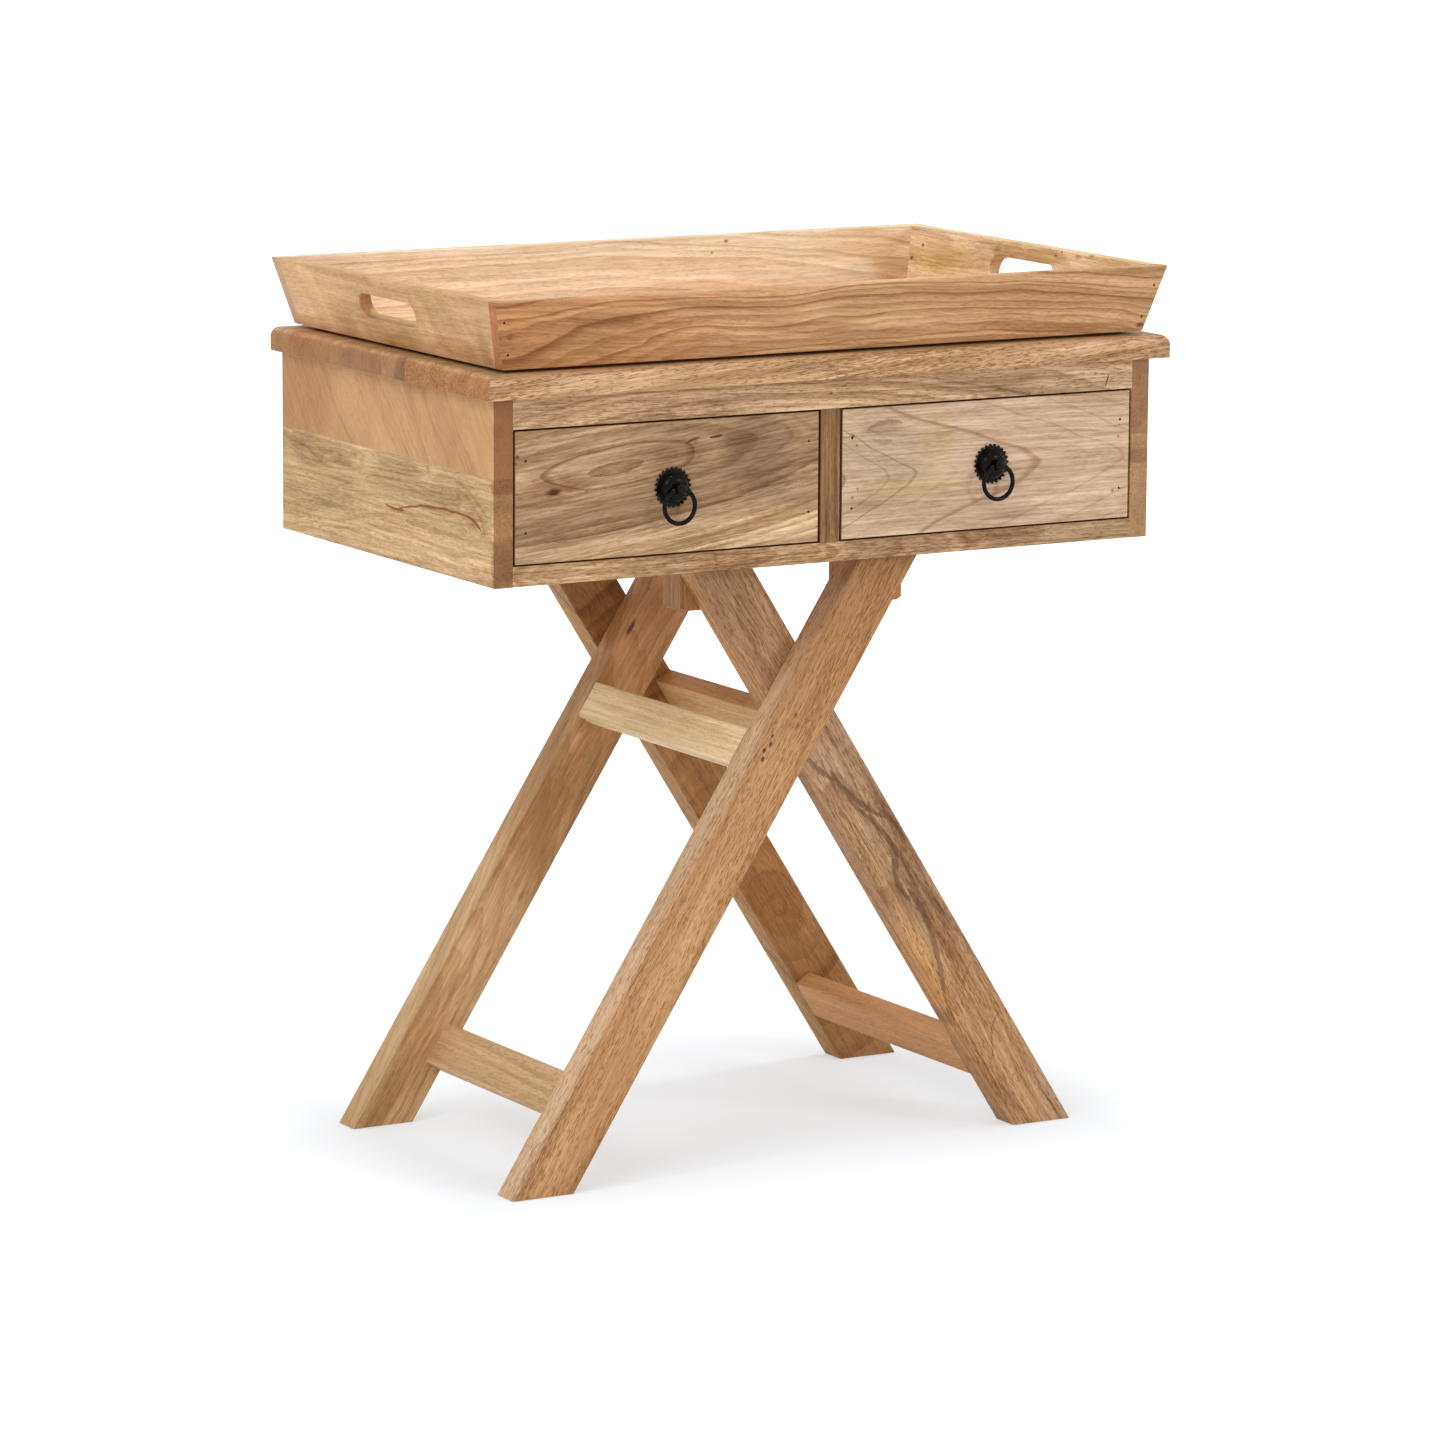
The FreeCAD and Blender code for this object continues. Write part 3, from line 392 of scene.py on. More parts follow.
def timber_group():
    """Solid wood: growth rings, fibres, pores, curl, patches, knots and end grain."""
    inputs = [("Place", "Vector")] + [(name, "Float") for name in TIMBER_NUMBERS]
    inputs += [(name, "Color") for name in TIMBER_COLOURS]
    outputs = [("Colour", "Color"), ("Height", "Float"), ("Roughness", "Float")]
    tree, g, given, result = new_group("timber", inputs, outputs)
    shift = g.vector("MULTIPLY", g.join(given["Seed"], given["Seed"], given["Seed"]), SEED_SHIFT)
    spot = g.vector("ADD", given["Place"], shift)
    bend_y, bend_z = wandering_grain(g, given, spot)
    number = ring_number(g, given, bend_y, bend_z)
    line = ring_lines(g, given, number)
    bands = ring_bands(g, given, number)
    patches = g.step(g.noise(spot, PATCH_TURNS), *PATCH_EDGE)
    drift = g.join(0.0, g.times(bend_y, FIBRE_BEND), g.times(bend_z, FIBRE_BEND))
    grain = g.vector("ADD", spot, drift)
    fibre = g.noise(grain, FIBRE_TURNS, detail=3.0, roughness=0.7)
    pores = pore_mask(g, grain, spot)
    shade = g.plus(fibre_shade(g, given, fibre, grain), curl_shade(g, given, shift))
    g.put(result.inputs["Colour"], timber_colour(g, given, bands, patches, line, shade, pores))
    height = g.times_plus(pores, PORE_HEIGHT, fibre)
    height = g.times_plus(line, LINE_HEIGHT, height)
    g.put(result.inputs["Height"], g.times_plus(given["Dark"], KNOT_HEIGHT, height))
    rough = g.times_plus(fibre, FIBRE_ROUGHNESS, WOOD_ROUGHNESS)
    rough = g.times_plus(pores, PORE_ROUGHNESS, rough)
    g.put(result.inputs["Roughness"], g.times_plus(given["End"], END_ROUGHNESS, rough))
    return tree


KNOT = knot_group()
MARK = mark_group()
ZONE = zone_group()
TIMBER = timber_group()


# The material of a board

LIGHT_FACTORS = (1.16, 1.18, 1.20)
DEEP_FACTORS = (0.76, 0.66, 0.55)
LINE_COLOUR = (0.52, 0.38, 0.26, 1.0)
FACING_EDGE = (0.55, 0.9)
WOOD_BUMP = 0.35
WOOD_BUMP_DISTANCE = 0.0006
WOOD_SPECULAR = 0.2
LACQUER = 0.05
LACQUER_ROUGHNESS = 0.3


@dataclass
class Wood:
    """How one board looks. Places are metres from the middle of its face, along the grain and across it."""

    tone: tuple  # colour
    patch: tuple = (190, 140, 95)  # colour of its patches
    grain: Vector = X  # direction of the grain
    face: Vector = -Y  # direction in which the main face looks
    slant: float = 0.0  # degrees by which the grain is turned on the face
    eye: tuple = (-1.5, 0.0)  # the place that the rings surround
    stretch: float = 30.0  # how many times longer than wide the rings are
    arch: float = 0.0  # roundness of the tips where the rings are arches, or 0 for ovals
    ring: float = 0.008  # width of a ring
    wander: float = 0.012  # how far the grain strays
    lines: float = 0.5  # depth of the lines at the ends of rings
    sharp: float = 0.3  # the part of a ring that is over where its line begins
    bands: float = 0.5  # depth of the dark bands
    fibre: float = 1.0  # depth of the fibres
    pores: float = 0.35  # depth of the pores
    curl: float = 0.15  # depth of the light and dark across the grain
    patches: float = 0.35  # depth of the patches
    # On some boards the end and flank tints are painted shade in gaps or painted light on narrow faces.
    end: tuple = (0.72, 0.6, 0.52)  # what the end grain is multiplied by
    flank: tuple = (1.0, 1.0, 1.0)  # what the edges beside the face are multiplied by
    knot: tuple = (84, 44, 26)  # colour of knots and marks
    knots: tuple = ()  # each x, y, wide, high, depth of its dark and push of the rings
    marks: tuple = ()  # each start x, start y, end x, end y, bow, width and depth of its dark
    zones: tuple = ()  # each x, y, wide, high and what its colour is multiplied by


def board_place(graph, node, wood):
    """Places on a board (along its grain, across it, and out of its face from 0 at the face).

    With them comes how far each place lies on the end grain and on a flank, from 0 to 1.
    """
    low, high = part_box(node)
    middle = (low + high) / 2
    half = (high - low) / 2
    main = max(range(3), key=lambda axis: abs(wood.face[axis]))
    origin = middle + wood.face * half[main]
    turned = Matrix.Rotation(math.radians(wood.slant), 3, wood.face) @ wood.grain
    axes = Matrix((turned, wood.face.cross(turned), wood.face)).transposed()
    coordinates = graph.add("ShaderNodeTexCoord").outputs
    mapping = graph.add("ShaderNodeMapping", {"Vector": coordinates["Object"]}, vector_type="TEXTURE")
    graph.put(mapping.inputs["Location"], origin)
    graph.put(mapping.inputs["Rotation"], axes.to_euler())
    sides = []
    for direction in (wood.grain, wood.face.cross(wood.grain)):
        facing = graph.vector("DOT_PRODUCT", coordinates["Normal"], direction)
        sides.append(graph.step(graph.math("ABSOLUTE", facing), *FACING_EDGE))
    return mapping.outputs["Vector"], sides


def knots_and_marks(graph, place, wood):
    """How far the rings are pushed and how dark the wood is, from a board's knots and marks."""
    swell, dark = 0.0, 0.0
    for x, y, wide, high, depth, push in wood.knots:
        values = {"Place": place, "X": x, "Y": y, "Wide": wide, "High": high, "Depth": depth}
        node = use_group(graph, KNOT, {**values, "Push": push, "Swell": swell, "Dark": dark})
        swell, dark = node.outputs["Swell"], node.outputs["Dark"]
    for start_x, start_y, end_x, end_y, bow, width, depth in wood.marks:
        length = math.hypot(end_x - start_x, end_y - start_y)
        mapping = graph.add("ShaderNodeMapping", {"Vector": place}, vector_type="TEXTURE")
        graph.put(mapping.inputs["Location"], (start_x, start_y, 0))
        graph.put(mapping.inputs["Rotation"], (0, 0, math.atan2(end_y - start_y, end_x - start_x)))
        graph.put(mapping.inputs["Scale"], (length, length, length))
        values = {"Local": mapping.outputs["Vector"], "Bow": bow / length, "Width": width / length}
        dark = use_group(graph, MARK, {**values, "Depth": depth, "Dark": dark}).outputs["Dark"]
    return swell, dark


def zone_tint(graph, place, wood):
    """What a board's colour is multiplied by, from its zones."""
    tint = WHITE
    for x, y, wide, high, tone in wood.zones:
        values = {"Place": place, "X": x, "Y": y, "Wide": wide, "High": high}
        tint = use_group(graph, ZONE, {**values, "Tone": (*tone, 1.0), "Tint": tint}).outputs["Tint"]
    return tint


def wood_material(name, node, wood, seed):
    """The wood of one board under a thin clear lacquer."""
    material, graph, shader = new_material(name)
    place, (end, flank) = board_place(graph, node, wood)
    swell, dark = knots_and_marks(graph, place, wood)
    tone = linear(wood.tone)
    values = {
        "Place": place, "Seed": float(seed), "Eye X": wood.eye[0], "Eye Y": wood.eye[1],
        "Stretch": wood.stretch, "Arch": 1.0 if wood.arch else 0.0, "Roundness": wood.arch,
        "Ring": wood.ring, "Wander": wood.wander, "Lines": wood.lines, "Sharp": wood.sharp,
        "Bands": wood.bands, "Fibre": wood.fibre, "Pores": wood.pores, "Curl": wood.curl,
        "Patches": wood.patches, "Swell": swell, "Dark": dark, "End": end, "Flank": flank,
        "Light": multiplied(tone, LIGHT_FACTORS), "Deep": multiplied(tone, DEEP_FACTORS),
        "Patch": linear(wood.patch), "Line": LINE_COLOUR, "End Tint": (*wood.end, 1.0),
        "Flank Tint": (*wood.flank, 1.0), "Knot": linear(wood.knot),
        "Tint": zone_tint(graph, place, wood),
    }
    timber = use_group(graph, TIMBER, values)
    add_bump(graph, shader, timber.outputs["Height"], WOOD_BUMP, WOOD_BUMP_DISTANCE)
    graph.put(shader.inputs["Base Color"], timber.outputs["Colour"])
    graph.put(shader.inputs["Roughness"], timber.outputs["Roughness"])
    shader.inputs["Specular IOR Level"].default_value = WOOD_SPECULAR
    shader.inputs["Coat Weight"].default_value = LACQUER
    shader.inputs["Coat Roughness"].default_value = LACQUER_ROUGHNESS
    return material


# Directions of the leaning legs, upwards, and of the splayed boards' faces. The legs lean by 32.6
# degrees, and the tray's boards splay by 15 mm in a height of 57 mm. The front and left boards have
# their main face outside, and the back and right boards inside, where the camera sees them.

LEG_LEAN = math.radians(32.6)
TRAY_SPLAY = math.atan(15 / 57)
TO_RIGHT = Vector((math.sin(LEG_LEAN), 0, math.cos(LEG_LEAN)))
TO_LEFT = Vector((-math.sin(LEG_LEAN), 0, math.cos(LEG_LEAN)))
FRONT_SPLAY = Vector((0, -math.cos(TRAY_SPLAY), -math.sin(TRAY_SPLAY)))
BACK_SPLAY_IN = Vector((0, -math.cos(TRAY_SPLAY), math.sin(TRAY_SPLAY)))
LEFT_SPLAY = Vector((-math.cos(TRAY_SPLAY), 0, -math.sin(TRAY_SPLAY)))
RIGHT_SPLAY_IN = Vector((-math.cos(TRAY_SPLAY), 0, math.sin(TRAY_SPLAY)))


# The wood of every board. A board's seed is its place in this table, so the order is part of the look.

WOODS = {
    "tray_front_board": Wood(
        tone=(200, 154, 108), patch=(202, 172, 127), face=FRONT_SPLAY, slant=-3.0, eye=(0.15, -0.07),
        stretch=6.5, ring=0.0065, wander=0.045, lines=0.9, bands=0.8, fibre=0.9, patches=0.25,
        end=(0.8, 0.66, 0.6), flank=(0.95, 0.95, 0.95),
        knots=(
            (0.309, -0.006, 0.005, 0.003, 0.8, 0.004),
            (-0.309, -0.015, 0.004, 0.003, 0.5, 0.0),
        ),
        zones=(
            (-0.27, -0.01, 0.15, 0.06, (0.93, 0.78, 0.66)),
            (-0.19, 0.006, 0.07, 0.006, (1.2, 1.35, 1.5)),
            (0.03, 0.004, 0.05, 0.012, (0.98, 1.04, 1.0)),
            (-0.02, -0.006, 0.05, 0.005, (0.78, 0.7, 0.62)),
            (0.29, -0.024, 0.03, 0.010, (1.0, 0.86, 0.7)),
        ),
    ),
    "tray_back_board": Wood(
        tone=(225, 200, 170), patch=(227, 209, 184), face=BACK_SPLAY_IN, eye=(-0.12, -0.06),
        stretch=6.0, ring=0.0065, wander=0.028, lines=0.45, bands=0.5, fibre=0.55, pores=0.25,
        patches=0.25,
        knots=(
            (0.118, 0.022, 0.003, 0.002, 0.7, 0.0),
            (0.102, 0.012, 0.002, 0.0015, 0.6, 0.0),
        ),
        zones=(
            (0.29, -0.0125, 0.025, 0.012, (0.82, 0.66, 0.5)),
            (0.26, 0.012, 0.06, 0.014, (0.95, 0.88, 0.74)),
            (0.10, -0.02, 0.12, 0.008, (0.88, 0.78, 0.68)),
        ),
    ),
    "tray_left_end": Wood(
        tone=(208, 167, 121), patch=(198, 156, 94), grain=-Y, face=LEFT_SPLAY, eye=(0.3, -0.02),
        stretch=7.0, ring=0.012, wander=0.03, lines=0.12, bands=0.5, fibre=0.6, pores=0.25, curl=0.7,
        patches=0.35, flank=(0.84, 0.82, 0.8),
        zones=(
            (-0.15, 0.0, 0.08, 0.035, (1.16, 1.18, 1.2)),
            (0.02, -0.0215, 0.035, 0.008, (0.84, 0.76, 0.62)),
            (0.085, 0.0195, 0.025, 0.010, (0.92, 0.96, 0.84)),
            (0.120, -0.016, 0.035, 0.010, (0.84, 0.74, 0.62)),
            (0.165, -0.010, 0.010, 0.022, (0.80, 0.74, 0.66)),
            (0.064, 0.002, 0.014, 0.018, (1.14, 1.15, 1.10)),
        ),
    ),
    "tray_right_end": Wood(
        tone=(221, 194, 156), patch=(211, 175, 113), grain=-Y, face=RIGHT_SPLAY_IN, eye=(-0.2, 0.02),
        stretch=6.0, ring=0.010, wander=0.03, lines=0.35, bands=0.6, fibre=0.9, curl=0.3, patches=0.6,
        knots=(
            (-0.179, -0.0015, 0.0025, 0.002, 0.9, 0.002),
            (-0.165, 0.0115, 0.0025, 0.002, 0.8, 0.002),
            (0.05, 0.022, 0.002, 0.0015, 0.7, 0.002),
            (0.058, 0.026, 0.002, 0.0015, 0.7, 0.002),
            (0.085, 0.024, 0.006, 0.0025, 0.45, 0.003),
            (0.105, 0.027, 0.005, 0.0020, 0.45, 0.003),
            (-0.045, 0.020, 0.006, 0.0030, 0.30, 0.004),
        ),
        zones=(
            (0.03, 0.020, 0.035, 0.007, (0.72, 0.60, 0.46)),
            (-0.12, 0.004, 0.030, 0.008, (0.84, 0.74, 0.62)),
            (-0.03, 0.018, 0.020, 0.006, (0.80, 0.70, 0.55)),
        ),
    ),
    "tray_floor": Wood(
        tone=(226, 190, 150), patch=(218, 174, 128), face=Z, eye=(-2.0, 0.12), stretch=22.0, ring=0.012,
        # end and flank darkened: painted shade in the gap under the tray's boards
        lines=0.4, end=(0.35, 0.3, 0.26), flank=(0.35, 0.3, 0.26),
    ),
    "top_front_board": Wood(
        tone=(189, 152, 113), patch=(193, 155, 113), face=-Y, slant=5.0, eye=(-2.5, 0.04), stretch=30.0,
        ring=0.004, wander=0.006, lines=0.45, fibre=1.55, pores=0.8, curl=0.12, end=(0.81, 0.58, 0.38),
        flank=(1.06, 1.06, 1.06),
    ),
    "top_middle_board": Wood(
        tone=(186, 146, 112), patch=(160, 128, 100), face=Z, eye=(-2.0, 0.03), stretch=30.0, ring=0.006,
        end=(0.76, 0.69, 0.58),
        zones=(
            (-0.331, -0.014, 0.006, 0.011, (0.62, 0.54, 0.50)),
        ),
    ),
    "top_back_board": Wood(
        tone=(196, 152, 110), patch=(188, 136, 92), face=Z, eye=(-1.8, -0.05), stretch=26.0, ring=0.009,
        end=(0.64, 0.56, 0.44),
        zones=(
            (-0.331, -0.064, 0.006, 0.042, (0.84, 0.84, 0.86)),
            (-0.331, 0.05, 0.006, 0.02, (0.94, 0.88, 0.84)),
        ),
    ),
    "top_rail": Wood(
        tone=(197, 162, 125), patch=(187, 153, 123), slant=-1.0, eye=(-0.04, -0.03), stretch=6.0,
        ring=0.006, wander=0.022, lines=0.6, bands=0.6, fibre=1.7, pores=0.7, curl=0.3, patches=0.5,
        # flank darkened: painted shade in the gap under this rail
        flank=(0.5, 0.4, 0.34),
        knots=(
            (0.0, 0.0, 0.0022, 0.0015, 0.7, 0.001),
        ),
        marks=(
            (0.2745, -0.005, 0.2780, 0.005, 0.0, 0.0011, 0.9),
        ),
        zones=(
            (0.21, 0.002, 0.10, 0.016, (0.93, 0.95, 1.02)),
            (0.17, -0.004, 0.03, 0.006, (0.8, 0.76, 0.72)),
        ),
    ),
    "bottom_rail": Wood(
        tone=(177, 142, 106), patch=(145, 109, 77), eye=(-0.17, 0.0), stretch=7.0, ring=0.005,
        # flank darkened: painted shade in the gap above this rail
        wander=0.03, lines=0.6, bands=0.75, fibre=1.7, pores=0.7, patches=0.5, flank=(0.55, 0.46, 0.38),
        zones=(
            (-0.25, 0.0, 0.10, 0.02, (1.26, 1.34, 1.33)),
            (-0.10, -0.003, 0.035, 0.006, (0.84, 0.76, 0.68)),
            (-0.02, 0.002, 0.04, 0.007, (1.1, 1.12, 1.05)),
            (0.16, 0.001, 0.05, 0.006, (0.82, 0.78, 0.76)),
            (0.24, 0.0, 0.10, 0.02, (0.88, 0.90, 0.91)),
        ),
    ),
    "centre_stile": Wood(
        tone=(155, 120, 83), patch=(122, 89, 56), grain=Z, eye=(-1.0, 0.01), stretch=30.0, ring=0.004,
        # flank darkened: painted shade in the gaps beside the drawers
        lines=0.8, bands=0.8, fibre=1.7, pores=0.6, patches=0.6, flank=(0.55, 0.46, 0.38),
        zones=(
            (0.030, -0.003, 0.025, 0.008, (1.15, 1.12, 1.1)),
            (-0.030, 0.003, 0.03, 0.006, (0.84, 0.78, 0.72)),
        ),
    ),
    "left_side_upper_board": Wood(
        tone=(194, 149, 99), patch=(187, 140, 90), grain=-Y, face=-X, slant=-50.0, eye=(-1.5, 0.05),
        stretch=30.0, ring=0.017, wander=0.06, lines=0.35, sharp=0.75, bands=0.3, fibre=0.32,
        pores=0.15, curl=0.3, patches=0.45, end=(0.47, 0.37, 0.35),
        zones=(
            (-0.109, -0.130, 0.07, 0.07, (0.88, 0.80, 0.72)),
            (0.027, 0.017, 0.06, 0.05, (1.10, 1.14, 1.18)),
            (0.1238, 0.1600, 0.010, 0.014, (0.84, 0.76, 0.70)),
        ),
    ),
    "left_side_lower_board": Wood(
        tone=(207, 171, 126), patch=(180, 154, 109), grain=-Y, face=-X, eye=(-2.0, 0.03), stretch=25.0,
        ring=0.006, wander=0.03, lines=0.5, bands=0.6, fibre=1.2, pores=0.4, curl=0.2, patches=0.35,
        end=(0.51, 0.41, 0.36), knot=(138, 68, 12),
        knots=(
            (-0.078, 0.028, 0.022, 0.006, 0.34, 0.012),
            (-0.056, 0.037, 0.010, 0.004, 0.42, 0.006),
            (-0.125, 0.022, 0.016, 0.005, 0.2, 0.008),
            (-0.165, 0.030, 0.010, 0.004, 0.15, 0.006),
            (0.0785, 0.040, 0.0045, 0.004, 0.25, 0.005),
            (0.030, 0.000, 0.005, 0.0026, 0.9, 0.003),
            (0.158, 0.004, 0.009, 0.005, 0.4, 0.010),
        ),
        marks=(
            (0.000, 0.001, 0.036, 0.000, -0.001, 0.0015, 1.0),
            (0.026, 0.000, 0.162, 0.0075, 0.006, 0.0016, 1.0),
            (0.145, 0.0095, 0.172, 0.000, 0.002, 0.0024, 1.0),
            (0.095, 0.037, 0.184, 0.010, 0.010, 0.0030, 0.28),
            (0.120, 0.030, 0.180, -0.004, 0.010, 0.0024, 0.25),
            (-0.187, 0.035, -0.110, 0.018, 0.006, 0.0024, 0.28),
            (-0.160, 0.012, -0.060, 0.012, -0.008, 0.0020, 0.24),
        ),
        zones=(
            (-0.13, 0.032, 0.07, 0.014, (0.82, 0.76, 0.68)),
            (0.14, 0.012, 0.05, 0.022, (0.88, 0.86, 0.80)),
            (0.05, -0.028, 0.15, 0.014, (1.05, 1.06, 1.04)),
            (0.1925, 0.039, 0.004, 0.008, (0.72, 0.58, 0.50)),
            (0.1925, 0.008, 0.004, 0.014, (1.12, 1.10, 1.04)),
            (0.1925, -0.026, 0.004, 0.020, (0.70, 0.64, 0.60)),
        ),
    ),
    "right_side_upper_board": Wood(
        tone=(196, 152, 112), grain=Y, face=X, eye=(-1.2, -0.03), stretch=18.0, end=(0.54, 0.50, 0.44),
    ),
    "right_side_lower_board": Wood(
        tone=(198, 158, 116), grain=Y, face=X, eye=(-1.4, 0.02), stretch=20.0, end=(0.66, 0.65, 0.60),
        zones=(
            (-0.1925, 0.026, 0.004, 0.006, (0.74, 0.66, 0.60)),
        ),
    ),
    "left_drawer_face": Wood(
        tone=(179, 147, 113), patch=(148, 114, 85), slant=7.0, eye=(-0.05, 0.026), stretch=4.6,
        ring=0.0060, wander=0.020, lines=0.9, bands=0.8, fibre=1.6, pores=0.4, curl=0.25, patches=0.35,
        # end and flank darkened: painted shade in the gaps round the drawer face
        end=(0.42, 0.33, 0.27), flank=(0.42, 0.33, 0.27), knot=(84, 36, 10),
        knots=(
            (-0.107, 0.016, 0.009, 0.004, 1.0, 0.008),
            (-0.137, 0.051, 0.0022, 0.0022, 0.8, 0.0),
            (-0.139, 0.046, 0.0012, 0.0012, 0.6, 0.0),
        ),
        marks=(
            (0.020, 0.033, 0.034, 0.036, 0.001, 0.0017, 0.85),
            (0.043, 0.034, 0.056, 0.034, 0.0, 0.0017, 0.9),
        ),
        zones=(
            (-0.105, 0.017, 0.030, 0.014, (0.82, 0.72, 0.66)),
            (0.088, 0.014, 0.035, 0.034, (0.70, 0.66, 0.68)),
            (0.03, 0.030, 0.060, 0.020, (0.82, 0.76, 0.72)),
            (0.02, -0.052, 0.22, 0.022, (1.32, 1.4, 1.44)),
        ),
    ),
    "right_drawer_face": Wood(
        tone=(195, 164, 137), patch=(179, 153, 114), eye=(0.0, -0.002), stretch=2.7, arch=0.007,
        ring=0.017, wander=0.026, lines=0.75, sharp=0.8, bands=0.18, fibre=1.2, pores=0.25, curl=0.25,
        # end and flank darkened: painted shade in the gaps round the drawer face
        patches=0.3, end=(0.42, 0.33, 0.27), flank=(0.42, 0.33, 0.27), knot=(110, 84, 64),
        knots=(
            (-0.090, 0.022, 0.034, 0.024, 0.0, 0.020),
            (-0.134, 0.032, 0.0022, 0.0022, 0.9, 0.0),
            (-0.130, 0.024, 0.0014, 0.0014, 0.7, 0.0),
            (-0.129, -0.013, 0.0014, 0.0014, 0.7, 0.0),
            (-0.134, -0.020, 0.0016, 0.0016, 0.7, 0.0),
            (0.133, 0.016, 0.0014, 0.0014, 0.7, 0.0),
            (0.134, 0.026, 0.0012, 0.0012, 0.7, 0.0),
            (0.128, -0.031, 0.0016, 0.0016, 0.7, 0.0),
        ),
        marks=(
            (-0.120, 0.036, -0.085, 0.040, 0.004, 0.0030, 0.5),
            (-0.115, 0.028, -0.095, 0.026, -0.002, 0.0030, 0.35),
        ),
        zones=(
            (-0.100, 0.012, 0.048, 0.034, (0.86, 0.89, 0.88)),
            (-0.105, 0.036, 0.022, 0.006, (0.80, 0.72, 0.68)),
            (-0.050, 0.020, 0.016, 0.028, (0.95, 0.96, 0.82)),
            (-0.080, -0.014, 0.05, 0.007, (0.96, 0.94, 0.76)),
            (-0.09, -0.034, 0.07, 0.018, (0.92, 0.92, 0.86)),
            (0.09, 0.0, 0.08, 0.07, (1.06, 1.06, 1.08)),
        ),
    ),
    "left_foot_front_leg": Wood(
        tone=(191, 148, 101), patch=(197, 142, 94), grain=TO_RIGHT, slant=3.0, eye=(-1.2, -0.01),
        stretch=22.0, ring=0.006, wander=0.014, lines=0.4, bands=0.5, fibre=0.75, pores=0.7,
        # flank lighter and bluer: painted light and sheen on the narrow faces
        patches=0.4, flank=(1.24, 1.50, 2.05), knot=(66, 30, 12),
        knots=(
            (0.098, 0.010, 0.003, 0.002, 0.85, 0.0),
            (0.105, 0.012, 0.0025, 0.002, 0.9, 0.0),
            (0.112, 0.009, 0.003, 0.002, 0.85, 0.0),
            (0.119, 0.011, 0.002, 0.0015, 0.8, 0.0),
            (0.144, -0.001, 0.003, 0.0025, 0.5, 0.004),
        ),
        zones=(
            # painted shadow of the box on the top of the leg
            (0.26, 0.0, 0.12, 0.08, (0.84, 0.80, 0.78)),
            (-0.05, -0.018, 0.06, 0.006, (0.84, 0.78, 0.7)),
        ),
    ),
    "right_foot_front_leg": Wood(
        tone=(185, 150, 117), patch=(165, 129, 93), grain=TO_LEFT, slant=-2.0, eye=(-0.5, 0.02),
        stretch=9.0, ring=0.011, wander=0.035, lines=0.7, sharp=0.4, bands=0.85, fibre=1.3, pores=0.7,
        patches=0.5, flank=(1.16, 1.08, 0.90), knot=(90, 56, 32),
        marks=(
            (0.118, 0.026, 0.074, 0.010, -0.002, 0.0036, 0.58),
            (0.084, 0.011, 0.016, -0.015, -0.004, 0.0034, 0.66),
            (0.030, -0.012, -0.012, -0.021, 0.003, 0.0031, 0.55),
            (0.086, 0.010, 0.030, 0.002, -0.001, 0.0029, 0.55),
            (0.040, 0.004, -0.006, -0.008, 0.002, 0.0034, 0.61),
            (0.004, -0.006, -0.030, -0.002, 0.003, 0.0034, 0.61),
            (-0.018, -0.003, -0.062, 0.001, -0.004, 0.0039, 0.66),
            (-0.050, -0.002, -0.100, -0.001, 0.003, 0.0046, 0.61),
            (-0.090, -0.002, -0.155, 0.015, 0.003, 0.0039, 0.55),
            (-0.145, 0.013, -0.200, 0.023, 0.001, 0.0032, 0.42),
            (0.052, 0.020, -0.020, 0.012, 0.003, 0.0019, 0.39),
            (-0.015, -0.013, -0.075, -0.010, -0.003, 0.0019, 0.39),
            (-0.145, -0.024, -0.165, -0.002, -0.003, 0.0017, 0.35),
            (-0.200, -0.026, -0.222, -0.004, -0.004, 0.0019, 0.42),
            (-0.222, -0.005, -0.245, 0.018, 0.002, 0.0015, 0.30),
        ),
        zones=(
            (-0.12, 0.014, 0.07, 0.010, (1.28, 1.22, 1.00)),
            (0.02, 0.016, 0.06, 0.008, (1.12, 1.10, 1.04)),
            (-0.06, -0.014, 0.10, 0.012, (0.72, 0.65, 0.60)),
            (0.03, -0.020, 0.05, 0.010, (0.78, 0.72, 0.66)),
            (0.20, -0.018, 0.05, 0.008, (1.0, 0.86, 0.7)),
            (-0.20, 0.0, 0.12, 0.05, (1.06, 0.99, 0.84)),
            (0.22, 0.0, 0.10, 0.05, (0.96, 0.92, 0.86)),
        ),
    ),
    "left_foot_rear_leg": Wood(
        tone=(207, 168, 123), patch=(183, 143, 97), grain=TO_RIGHT, eye=(-0.3, 0.03), stretch=4.0,
        ring=0.010, wander=0.05, lines=0.5, bands=0.7, fibre=0.85, pores=0.3, patches=0.5,
        # flank lighter and bluer: painted light and sheen on the narrow faces
        flank=(1.08, 1.16, 1.2), knot=(70, 24, 6),
        knots=(
            (0.1745, 0.020, 0.009, 0.003, 0.8, 0.004),
            (-0.08, -0.012, 0.006, 0.003, 0.3, 0.006),
        ),
        zones=(
            (0.17, 0.0, 0.11, 0.05, (0.92, 0.80, 0.74)),
            (0.0, 0.0, 0.07, 0.04, (0.78, 0.70, 0.61)),
        ),
    ),
    "right_foot_rear_leg": Wood(
        tone=(168, 123, 74), patch=(148, 104, 58), grain=TO_LEFT, eye=(-0.13, 0.0), stretch=1.5,
        ring=0.015, wander=0.02, lines=0.75, bands=0.5, fibre=0.7, pores=0.45, patches=0.5,
        flank=(1.28, 1.36, 1.23),
        zones=(
            (0.18, 0.0, 0.09, 0.05, (0.98, 1.0, 0.98)),
            (-0.08, 0.0, 0.08, 0.04, (1.08, 0.98, 0.84)),
        ),
    ),
    "left_foot_upper_bar": Wood(
        tone=(247, 213, 171), patch=(248, 211, 160), grain=Y, face=-TO_RIGHT.cross(Y), eye=(-2, 0.05),
